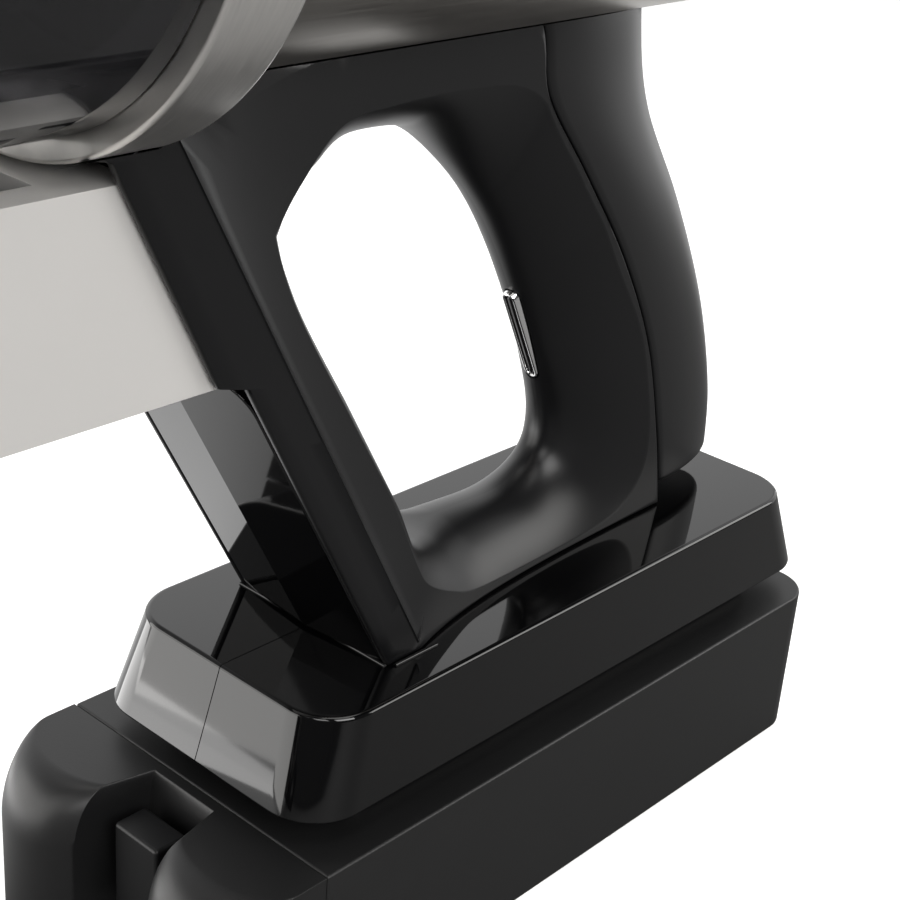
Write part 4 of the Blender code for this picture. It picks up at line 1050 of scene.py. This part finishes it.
def makeBattery(b):
    half, top, back = caseHigh.y, caseHigh.z, caseLow.x
    front = b["parting"]
    plan = [(front, -half), (front, half)]
    plan += arc((back + b["corner"], half - b["corner"]), b["corner"], 90, 180, 14)
    plan += arc((back + b["corner"], b["corner"] - half), b["corner"], 180, 270, 14)
    case = rawPiece("batteryCase", flatPlate(plan, 0.0, top), "matteBlack")
    hollow = rounded((back + 2.6, front - 2.4), (2.4 - half, half - 2.4), 3)
    carve(case, flatPlate(hollow, -5, top - 2.4), rod((back, 0, 18), xAxis, -5, 2.2 + gap, 6.0 + gap))
    soften(case, b["edge"], 4)
    fit(case, "battery", "matte_black", "battery_case")

    radius = half - b["lobeY"]
    lobes = arc((b["lobeX"], -b["lobeY"]), radius, -90, 50, 36) + [(b["notchX"], 13 - b["lobeY"])]
    lobes += [(b["notchX"], b["lobeY"] - 13)] + arc((b["lobeX"], b["lobeY"]), radius, -50, 90, 36)
    plan = [(front + gap, half), (front + gap, -half)] + lobes
    plan = [p for k, p in enumerate(plan) if k == 0 or (Vector(p) - Vector(plan[k - 1])).length > 0.02]
    crown = b["crown"]
    loops = [[(x, y, z) for x, y in plan] for z in (0.0, 0.8, top - crown)]
    for k in range(1, 17):
        turn = radians(90 * k / 16)
        pull = 0.8 * crown * (1 - cos(turn)) / 24
        z = top - crown * (1 - sin(turn))
        loops.append([(x - pull * (x - front - gap), y, z) for x, y in plan])
    cap = rawPiece("batteryFrontCap", loft(loops), "matteBlack", 34.0)
    soften(cap, 0.5, 3, 40.0)
    fit(cap, "battery", "matte_black", "battery_front_cap")

    refined("battery_release_button", "battery_release", "satin_black", "satinBlack", 0.8, 4)
    refined("battery_base_cover", "battery", "matte_black", "matteBlack", 0.5)
    refined("battery_rail", "handheld", "matte_black", "matteBlack", 0.4)
    refined("charge_socket", "battery", "satin_black", "satinBlack", 0.2)
    inset = 8.0
    places = [(x, y, 0.68) for x in (back + inset, front - inset) for y in (inset - half, half - inset)]
    screws("batteryScrews", "battery", places, (0, 0, -1), 2.2, 0.6)
    for k in range(1, 8):
        low, high = nodeBox("battery_cell_%d" % k)
        r = (high.z - low.z) / 2
        span = high.y - low.y
        shape = [(0, 0), (0, r - 0.8), (0.8, r), (span - 1.4, r), (span - 0.6, r - 0.8), (span - 0.6, 3.2),
                 (span, 3.0), (span, 0)]
        cell = rawPiece("batteryCell%d" % k, turned(((low.x + high.x) / 2, low.y, (low.z + high.z) / 2), yAxis,
                                                    shape, 48), "cellWrap")
        fit(cell, "battery", "cell_wrap", "battery_cell_%d" % k)
    dress("circuitBoard", "battery_board", "control_board")
    print("foot and battery made")


makeFoot(foot)
makeBattery(battery)


# handheld body

def aboutBody(profile, segments=128):
    return turned((0, 0, bodyZ), xAxis, profile, segments)


shell = {"wall": 2.4, "edge": 0.5, "buttonX": -30.0, "buttonR": 8.0, "ringEdge": 0.7, "ringHole": 40.0}


def makeShell(s):
    inner = bodyR - s["wall"]
    body = rawPiece("motorShell", tube((0, 0, bodyZ), xAxis, shellLow.x, shellHigh.x, bodyR, inner, 144), "shellMetal")
    top = bodyZ + bodyR
    carve(body, rod((s["buttonX"], 0, 0), zAxis, top - 10, top + 10, s["buttonR"] + gap))
    soften(body, s["edge"], 3)
    fit(body, "handheld", "shell_metal", "motor_shell")
    ring = [(ringLow.x, ringR), (ringHigh.x, ringR), (ringHigh.x, s["ringHole"]), (ringLow.x, s["ringHole"])]
    collar = rawPiece("frontRing", aboutBody(ring, 160), "ringMetal")
    soften(collar, s["ringEdge"], 4)
    fit(collar, "handheld", "shell_metal", "front_ring")

    r = s["buttonR"]
    dish = [(top - 1.4, 0), (top - 1.4, r), (top + 1.0, r), (top + 1.45, r - 0.2), (top + 1.6, r - 0.8),
            (top + 1.3, r - 1.6), (top + 0.9, r - 4), (top + 0.8, 0)]
    power = rawPiece("powerButton", turned((s["buttonX"], 0, 0), zAxis, dish, 64), "satinBlack")
    fit(power, "power_switch", "satin_black", "power_button")
    refined("impeller", "fan", "silver_plastic", "silverPlastic", 0.2, 2)
    dress("steel", "motor_shaft")
    for node, finish in (("fan_motor", "motorMetal"), ("motor_mount", "rubber")):
        refined(node, "handheld", "motor_case" if node == "fan_motor" else "rubber", finish, 0.6)
    low, high = nodeBox("pre_filter")
    span = high.x - low.x
    r = (high.z - low.z) / 2
    disc = [(low.x, r), (high.x, r), (high.x, 6.0), (low.x, 6.0)]
    pad = rawPiece("preFilter", aboutBody(disc, 96), "filterFelt")
    soften(pad, 1.6, 4)
    fit(pad, "handheld", "filter_felt", "pre_filter")
    ringOf("Bars", "preFilterPleats", "handheld", "filter_felt", "filterFelt", 48, (r + 8) / 2, (0.9, 0.8, r - 10),
           (high.x - 0.2, 0, bodyZ), xAxis)
    print("shell made")


exhaust = {"slats": 40, "hub": 13.0, "outer": 38.0}


def makeExhaust(e):
    low, high = nodeBox("exhaust_cover")
    back, face = high.x, low.x
    rimShape = [(back, 45), (back - 9.6, 45), (back - 12.2, 43.9), (back - 14.4, 41.6), (face + 0.6, e["outer"] + 1),
                (face + 0.4, e["outer"]), (face + 2.5, e["outer"] - 0.3), (back - 8.6, 42.4), (back, 42.4)]
    rim = rawPiece("exhaustCover", aboutBody(rimShape, 144), "satinBlack", 34.0)
    hub = [(face, 0), (face, e["hub"] - 0.8), (face + 0.6, e["hub"]), (face + 2.5, e["hub"]), (face + 2.5, 0)]
    centre = rawPiece("exhaustHub", aboutBody(hub, 96), "satinBlack", 34.0)
    slats = ringOf("Bars", "exhaustSlats", "exhaust", "satin_black", "satinBlack", e["slats"],
                   (e["outer"] + e["hub"]) / 2, (1.7, 1.5, e["outer"] - e["hub"] + 0.8), (face + 1.2, 0, bodyZ), xAxis)
    fit(rim, "exhaust", "satin_black", "exhaust_cover")
    fit(centre, "exhaust", "satin_black")
    low, high = nodeBox("exhaust_filter")
    r = (high.z - low.z) / 2
    drum = rawPiece("exhaustFilter", aboutBody([(low.x, r - 3), (high.x, r - 3), (high.x, 24), (low.x, 24)], 96),
                    "filterFelt")
    fit(drum, "exhaust", "filter_felt", "exhaust_filter")
    ringOf("Bars", "exhaustPleats", "exhaust", "filter_felt", "filterFelt", 60, r - 1.7, (high.x - low.x, 0.9, 3.2),
           ((low.x + high.x) / 2, 0, bodyZ), xAxis)
    print("exhaust made")


makeShell(shell)
makeExhaust(exhaust)


# dust bin

binParts = {"wall": 2.2, "inlet": (118.0, 132.0), "hinge": (214.5, 157.6), "knuckle": 3.7, "pin": 1.5}


def makeBin(b):
    low, high = nodeBox("dust_bin")
    r = 49.5
    doorLow, doorHigh = nodeBox("bin_door")
    doorR = 51.0
    wall = rawPiece("dustBin", tube((0, 0, bodyZ), xAxis, low.x, doorLow.x - gap, r, r - b["wall"], 144), "smokedClear")
    carve(wall, block(b["inlet"], (-11, 11), (150, 180)))
    hingeX, hingeZ = b["hinge"]
    base = bodyZ - doorR
    for y in ((-15, -8.3), (8.3, 15)):
        ear = arc((hingeX, hingeZ), b["knuckle"], -90, 90, 20)
        ear += [(206, base + 4.5), (200, base + 4.5), (200, base - 1)]
        carve(wall, sidePlate(ear, *y), operation="UNION")
    axleZ = bodyZ + r + 2.6
    for y in ((-9.8, -7.6), (7.6, 9.8)):
        carve(wall, block((196, 204), y, (axleZ - 8, axleZ + 1.6)), operation="UNION")
    carve(wall, rod((hingeX, 0, hingeZ), yAxis, -20, 20, b["pin"] + gap, 32),
          tube((0, 0, bodyZ), xAxis, doorLow.x - 0.25, doorHigh.x + 4, doorR + gap, 30, 128))
    soften(wall, 0.35, 2, 36.0)
    fit(wall, "bin", "smoked_clear", "dust_bin")

    face = doorHigh.x
    lid = [(doorLow.x, 0), (doorLow.x, doorR), (face - 2, doorR), (face - 0.6, doorR - 0.6), (face, doorR - 2),
           (face, 41), (face - 0.4, 39.6), (face - 2, 36), (face - 2.2, 20), (face - 1.6, 0)]
    door = rawPiece("binDoor", aboutBody(lid, 144), "smokedClear", 30.0)
    knuckle = arc((hingeX, hingeZ), b["knuckle"], 180, 360, 24)
    carve(door, sidePlate(knuckle + [(218.2, base + 6), (210.8, base + 6)], -8, 8), operation="UNION")
    carve(door, rod((hingeX, 0, hingeZ), yAxis, -12, 12, b["pin"] + gap, 32))
    soften(door, 0.4, 3, 36.0)
    fit(door, "bin_lid", "smoked_clear", "bin_door")

    seal = [(207.6, 46.6), (208.2, 47.0), (209.6, 47.0), (210.0, 46.6), (210.0, 44.2), (209.6, 44), (208.0, 44),
            (207.6, 44.4)]
    gasket = rawPiece("binDoorSeal", aboutBody(seal, 96), "rubber")
    fit(gasket, "bin_lid", "rubber", "bin_door_seal")
    pinShape = [(-15.5, 0), (-15.5, b["pin"] - 0.3), (-15.2, b["pin"]), (15.2, b["pin"]), (15.5, b["pin"] - 0.3),
                (15.5, 0)]
    pin = rawPiece("binHingePin", turned((hingeX, 0, hingeZ), yAxis, pinShape, 32), "steel")
    fit(pin, "bin", "steel", "bin_hinge_pin")

    shroud = [(117, 33), (172, 33), (174, 33.6), (176, 35), (178, 35), (178, 31), (117, 31)]
    screen = rawPiece("cycloneShroud", aboutBody(shroud, 96), "steel", 34.0)
    fit(screen, "bin", "steel", "cyclone_shroud")
    # the shroud's holes are not cut: dark discs of painted shade stand for the shade inside them
    ringOf("Dots", "shroudHoleShade", "bin", "steel", "paintedRecessShade", 56, 33.0, (1.9, 1.9, 0.12), (0, 0, bodyZ), xAxis,
           rows=16, first=124.0, pitch=2.9, twist=pi / 56)
    cone = [(117, 27), (150, 27), (154, 26), (194, 12.6), (196, 12), (196, 10), (150, 25), (117, 25)]
    spout = rawPiece("cycloneCone", aboutBody(cone, 96), "coneBlack", 34.0)
    fit(spout, "bin", "matte_black", "cyclone_cone")
    top = axleZ
    rocker = [(188.4, top - 0.4), (214, top - 0.4), (217, top + 0.6), (214.5, top + 2.0), (212, top + 2.2),
              (204, top + 1.9), (196, top + 1.5), (190, top + 2.2), (188.4, top + 1.6)]
    latch = rawPiece("binLatch", sidePlate(rocker, -7.2, 7.2), "satinBlack")
    soften(latch, 0.35, 3, 25.0)
    fit(latch, "latch", "satin_black", "bin_latch")
    ringBars = [(191.5 + 2.0 * k, top + 2.0) for k in range(3)]
    for k, (x, z) in enumerate(ringBars):
        ridge = rawPiece("latchRidge%d" % (k + 1), turned((x, -5.5, z - 0.25), yAxis,
                                                          [(0, 0), (0.3, 0.45), (10.7, 0.45), (11, 0)], 16), "satinBlack")
        fit(ridge, "latch", "satin_black")
    print("bin made")


makeBin(binParts)


# duct and wand

duct = {"edge": 0.7, "lipEdge": 2.6}


def makeDuct(d):
    low, high = ductLow, ductHigh
    foot = strutFront(low.z) - handle["recess"] + gap
    outline = [(foot, low.z), (mouth.x - d["lipEdge"], low.z), (mouth.x + d["lipEdge"], high.z),
               (foot + handle["lean"] * (high.z - low.z), high.z)]
    tunnel = rawPiece("inletDuct", sidePlate(outline, low.y, high.y), "silverPlastic")
    wandR = (nodeBox("wand_tube")[1].y - nodeBox("wand_tube")[0].y) / 2
    carve(tunnel, rod(mouth, wandDir, -34, 8, wandR + gap, 96), block(binParts["inlet"], (-12, 12), (140, 170)))
    soften(tunnel, d["edge"], 4)
    fit(tunnel, "handheld", "silver_plastic", "inlet_duct")


wand = {"collar": 21.5, "wall": 1.5, "start": -15.0, "end": 600.0, "ribs": 44}


def makeWand(w):
    box = nodeBox("wand_tube")
    r = (box[1].y - box[0].y) / 2
    c = w["collar"]
    hold = r + gap
    nozzle = [(gap, c - 1.6), (1.0, c - 1.1), (4, c - 0.9), (25.4, c), (27.2, c - 0.2), (28, c - 1), (28, hold), (gap, hold)]
    front = rawPiece("nozzleCollar", turned(mouth, wandDir, nozzle, 128), "satinBlack", 34.0)
    carve(front, wandBlock((6, 22), (15.0, 30.0), (-4.3, 4.3)))
    fit(soften(front, 0.25, 2, 40.0), "handheld", "satin_black", "nozzle_collar")
    refined("wand_release_button", "wand_release", "silver_plastic", "silverPlastic", 0.8, 4)

    inner = r - w["wall"]
    pipe = [(w["start"], r - 0.4), (w["start"] + 0.4, r), (w["end"] - 0.4, r), (w["end"], r - 0.4), (w["end"], inner),
            (w["start"], inner)]
    tubePiece = rawPiece("wandTube", turned(mouth, wandDir, pipe, 128), "wandMetal", 34.0)
    fit(tubePiece, "wand", "wand_metal", "wand_tube")
    top = [(28.3, c - 1), (28.8, c - 0.3), (30, c), (52, c - 0.6), (58, c - 1.3), (63, c - 2.6), (65.6, c - 3.6),
           (66, c - 4.0), (66, hold), (28.3, hold)]
    collar = rawPiece("wandTopCollar", turned(mouth, wandDir, top, 128), "satinBlack", 34.0)
    fit(collar, "wand", "satin_black", "wand_top_collar")
    ringOf("Bars", "wandTopRibs", "wand", "satin_black", "satinBlack", w["ribs"], c - 0.75, (18.0, 1.1, 0.9),
           onWand(41), wandDir)
    low = [(584, c - 4.2), (584.6, c - 3.5), (588, c - 1.4), (592, c - 0.5), (636, c), (639, c - 0.2), (640, c - 1),
           (640, hold), (584, hold)]
    lower = rawPiece("wandBottomCollar", turned(mouth, wandDir, low, 128), "satinBlack", 34.0)
    carve(lower, wandBlock((612, 630), (-5.3, 5.3), (15.0, 30.0)))
    fit(soften(lower, 0.25, 2, 40.0), "wand", "satin_black", "wand_bottom_collar")
    refined("head_release_button", "head_release", "silver_plastic", "silverPlastic", 0.9, 4)

    neck = [(602, r - 0.4), (602.4, r), (640.3, r), (640.3, c - 1), (641, c - 0.4), (650, c - 0.4), (656, c - 0.7),
            (664, 20.2), (668, 19.5), (671, 18.9), (672, 18.2), (672, 14.5), (681, 14.5), (681, 12.8), (602, 14.2)]
    swivel = rawPiece("neckPipe", turned(mouth, wandDir, neck, 128), "satinBlack", 34.0)
    fit(swivel, "neck", "satin_black", "neck_pipe")
    print("duct and wand made")


makeDuct(duct)
makeWand(wand)


# floor head, measured from the neck's pivot

head = {"half": 113.0, "cap": 125.0, "brush": (62.0, 27.0), "brushR": 22.5, "chamberR": 26.5, "housingR": 30.92,
        "drive": (22.0, 21.0), "barrelR": 20.0, "wheel": (-10.0, 18.0), "roller": (80.0, 6.5), "edge": 1.2}


def atHead(place):
    return pivot.x + place[0], place[1]


def headBlock(x, y, z):
    return block((pivot.x + x[0], pivot.x + x[1]), y, z)


def acrossHead(place, near, far, radius, segments=64):
    x, z = atHead(place)
    return rod((x, 0, z), yAxis, near, far, radius, segments)


def headRoof(h):
    curve = arc(h["brush"], h["housingR"], 118, -25, 56)
    bend = smoothCurve([(10, 31), (19, 40.2), (30, 48.2), curve[0]], 5)[:-1]
    return [(10, 5.5)] + bend + curve + [(90.5, 5.5)]


def makeHead(h):
    chamber = [(84.5, 5.5)] + arc(h["brush"], h["chamberR"], -43, 223, 64) + [(39.5, 5.5)]
    outline = [atHead(p) for p in headRoof(h) + chamber]
    cover = rawPiece("headHousing", sidePlate(outline, -h["half"], h["half"]), "glossBlack", 30.0)
    carve(cover, headBlock((0, 21.5), (-30.6, 30.6), (0, 60)), headBlock((15, 45), (-14, 14), (12, 32)),
          acrossHead(h["drive"], -120, -36, 11.5))
    for sign in (1, -1):
        near, far = sorted((sign * 30.6, sign * 39.0))
        lug = [(12, 8), (12, 40)] + arc((0, pivot.z), 10.5, 70, 200, 24) + [(-13.5, 22), (-13.5, 12), (-8, 8)]
        carve(cover, sidePlate([atHead(p) for p in lug], near, far), operation="UNION")
        near, far = sorted((sign * 36.0, sign * 52.0))
        carve(cover, acrossHead(h["wheel"], near, far, 4.0, 48), operation="UNION")
    carve(cover, rod(pivot, yAxis, -38.6, 38.6, 6.0 + gap, 48))
    soften(cover, 0.5, 3, 34.0)
    fit(cover, "head", "gloss_black", "head_housing")

    for name, node, sign in (("beltCover", "belt_cover", -1), ("headEndCap", "head_end_cap", 1)):
        near, far = sorted((sign * (h["half"] + gap), sign * h["cap"]))
        cap = rawPiece(name, sidePlate([atHead(p) for p in headRoof(h)], near, far), "glossBlack", 30.0)
        soften(cap, h["edge"], 4, 50.0)
        settle(cap)
        inner, outer = sorted((sign * 116.4, sign * 123.8))
        x = h["roller"][0]
        carve(cap, headBlock((x - 7.1, x + 7.1), (inner, outer), (0, 13.6)),
              acrossHead(h["roller"], *sorted((sign * 114.6, sign * 128)), 1.2 + gap, 24))
        if sign < 0:
            carve(cap, beltLoop(h, 2.4, -122.4, -110))
        else:
            carve(cap, acrossHead(h["brush"], 110, 118, 4.0 + gap, 48))
        cap.data.set_sharp_from_angle(angle=radians(40))
        fit(cap, "head", "gloss_black", node)
    refined("sole_plate", "head", "matte_black", "matteBlack", 0.3)
    places = [(pivot.x + x, y, 2.5) for x in (32.0, 86.0) for y in (-100.0, -34.0, 34.0, 100.0)]
    screws("soleScrews", "head", places, (0, 0, -1), 1.9, 0.5)
    dress("motorMetal", "brush_motor")
    dress("rubber", "drive_belt")
    dress("steel", "drive_pulley")
    elbow = rawPiece("neckElbow", turned(pivot, yAxis, [(-30, 0), (-30, h["barrelR"] - 0.8), (-29.2, h["barrelR"]),
                                                        (29.2, h["barrelR"]), (30, h["barrelR"] - 0.8), (30, 0)], 96),
                     "satinBlack", 34.0)
    reach = (pivot - mouth).length
    carve(elbow, turned(mouth, wandDir, [(reach - 32.7, 0), (reach - 32.7, 17.4), (reach - 32.2, 18.0), (reach - 5, 19.0),
                                         (reach - 5, 0)], 96), rod(pivot, yAxis, -38, 38, 6.0, 48), operation="UNION")
    carve(elbow, rod(mouth, wandDir, reach - 45, reach + 30, 14.5 + gap, 64))
    soften(elbow, 0.4, 3, 40.0)
    fit(elbow, "elbow", "satin_black", "neck_elbow")


def beltLoop(h, grow, near, far, big=12.0, small=6.0):
    brush, drive = Vector(atHead(h["brush"])), Vector(atHead(h["drive"]))
    away = brush - drive
    lean = asin((big - small) / away.length)
    base = atan2(away.y, away.x) * 180 / pi
    tip = 90.0 + lean * 180 / pi
    outline = arc(brush, big + grow, base - tip, base + tip, 32)
    outline += arc(drive, small + grow, base + tip, base + 360.0 - tip, 20)
    return sidePlate(outline, near, far)


brush = {"core": 14.5, "tufts": 6, "rows": 96, "twist": 0.052, "softTwist": 0.052}


def makeBrush(h, b):
    x, z = atHead(h["brush"])
    r = h["brushR"]
    profile = [(-121.4, 0), (-121.4, 12), (-115.0, 12), (-115.0, 5), (-107.4, 5), (-107.4, b["core"] + 2),
               (-106.6, b["core"] + 2.6), (-105.4, b["core"] + 2.6), (-104.6, b["core"]), (104.6, b["core"]),
               (105.4, b["core"] + 2.6), (106.6, b["core"] + 2.6), (107.4, b["core"] + 2), (107.4, 4), (117.4, 4), (117.4, 0)]
    core = rawPiece("brushRoll", turned((x, 0, z), yAxis, profile, 96), "bristle", 34.0)
    fit(core, "brush", "bristle", "brush_roll")
    long = r - b["core"]
    pitch = 204.0 / b["rows"]
    ringOf("Tufts", "brushBristles", "brush", "bristle", "bristle", b["tufts"], b["core"] + long / 2 - 0.1,
           (1.7, 1.7, long), (x, 0, z), yAxis, b["rows"], -102.0, pitch, b["twist"], 0.10)
    ringOf("Tufts", "brushSoftRows", "brush", "bristle", "bristleSoft", b["tufts"], b["core"] + long / 2 - 0.5,
           (1.3, 1.3, long - 0.8), (x, 0, z), yAxis, b["rows"], -100.9, pitch, b["twist"], 0.16)


def makeWheels(h):
    x, z = atHead(h["wheel"])
    rx, rz = atHead(h["roller"])
    for side, sign in (("left", 1.0), ("right", -1.0)):
        tyre = [(39.6, 4.3), (39.6, 11), (40.2, 12), (40.2, 15), (40.8, 16.6), (42.0, 17.7), (43.0, 18), (48.4, 18),
                (49.4, 17.7), (50.4, 16.6), (51, 15), (51, 12), (51.6, 11), (51.6, 4.3)]
        wheel = rawPiece("rearWheel" + side.title(), turned((x, 0, z), yAxis, [(sign * a, r) for a, r in tyre], 80),
                         "rubber", 34.0)
        fit(wheel, "wheel_" + side, "rubber", "rear_wheel_" + side)
        ringOf("Bars", "wheelRibs" + side.title(), "wheel_" + side, "rubber", "rubber", 40, 17.75, (5.0, 1.0, 0.5),
               (x, sign * 45.7, z), yAxis)
        small = [(115.2, 0), (115.2, 1.2), (116.8, 1.2), (116.8, 6.1), (117.2, 6.5), (123.0, 6.5), (123.4, 6.1),
                 (123.4, 1.2), (124.6, 1.2), (124.6, 0)]
        roller = rawPiece("frontRoller" + side.title(), turned((rx, 0, rz), yAxis, [(sign * a, r) for a, r in small], 48),
                          "rubber", 34.0)
        fit(roller, "roller_" + side, "rubber", "front_roller_" + side)
    print("head made")


makeHead(head)
makeBrush(head, brush)
makeWheels(head)


# floor and studio

# "glow" is painted light, an emission of the floor that only rays other than the camera's see and that it gives to the
# pieces, from its dim side to its bright side; "bounce" is the darker floor colour those rays see, a painted shade
floorSettings = {"size": 30.0, "seen": 0.86, "bounce": 0.13, "lift": 0.48, "glow": (0.03, 0.85),
                 "bright": (0.0, -1.0, 0.0), "fade": (0.02, 0.11)}


def makeFloor(f):
    mesh = bpy.data.meshes.new("floor")
    size = f["size"]
    corners = [(-size, -size, 0), (size, -size, 0), (size, size, 0), (-size, size, 0)]
    mesh.from_pydata([Vector(c) - zAxis * 0.0002 for c in corners], [], [(0, 1, 2, 3)])
    material, tree, shader = newFinish("paleFloor", Metallic=0.0, Roughness=0.7)
    place = tree.nodes.new("ShaderNodeTexCoord").outputs["Object"]
    faint = noiseNode(tree, place, 3.0, 2.0)
    seen = tree.nodes.new("ShaderNodeLightPath").outputs["Is Camera Ray"]
    pale = tintNode(tree, faint, (f["seen"],) * 3 + (1,), (f["seen"] + 0.03,) * 3 + (1,))
    # rays other than the camera's see the floor much darker, a painted shade in what the pieces reflect
    tree.links.new(tintNode(tree, seen, (f["bounce"],) * 3 + (1,), pale), shader.inputs["Base Color"])
    toward = tree.nodes.new("ShaderNodeVectorMath")
    toward.operation = "DOT_PRODUCT"
    toward.inputs[1].default_value = f["bright"]
    tree.links.new(place, toward.inputs[0])
    share = tree.nodes.new("ShaderNodeMapRange")
    share.interpolation_type = "SMOOTHSTEP"
    for label, value in zip(("From Min", "From Max", "To Min", "To Max"), f["fade"] + f["glow"]):
        share.inputs[label].default_value = value
    tree.links.new(toward.outputs["Value"], share.inputs["Value"])
    # for rays other than the camera's the floor glows, painted light growing towards its bright side; the camera sees
    # it evenly lifted to white
    shader.inputs["Emission Color"].default_value = (1, 1, 1, 1)
    hidden = mathNode(tree, "SUBTRACT", 1.0, seen)
    glow = mathNode(tree, "MULTIPLY", hidden, share.outputs["Result"])
    tree.links.new(mathNode(tree, "MULTIPLY_ADD", seen, f["lift"], glow), shader.inputs["Emission Strength"])
    mesh.materials.append(material)
    floor = bpy.data.objects.new("floor", mesh)
    bpy.context.scene.collection.objects.link(floor)


makeFloor(floorSettings)
makeCamera(cameraSettings)
makeLights(lightSettings)
makeWorld(studio)
bpy.context.scene.view_settings.view_transform = "Standard"
print("studio made")
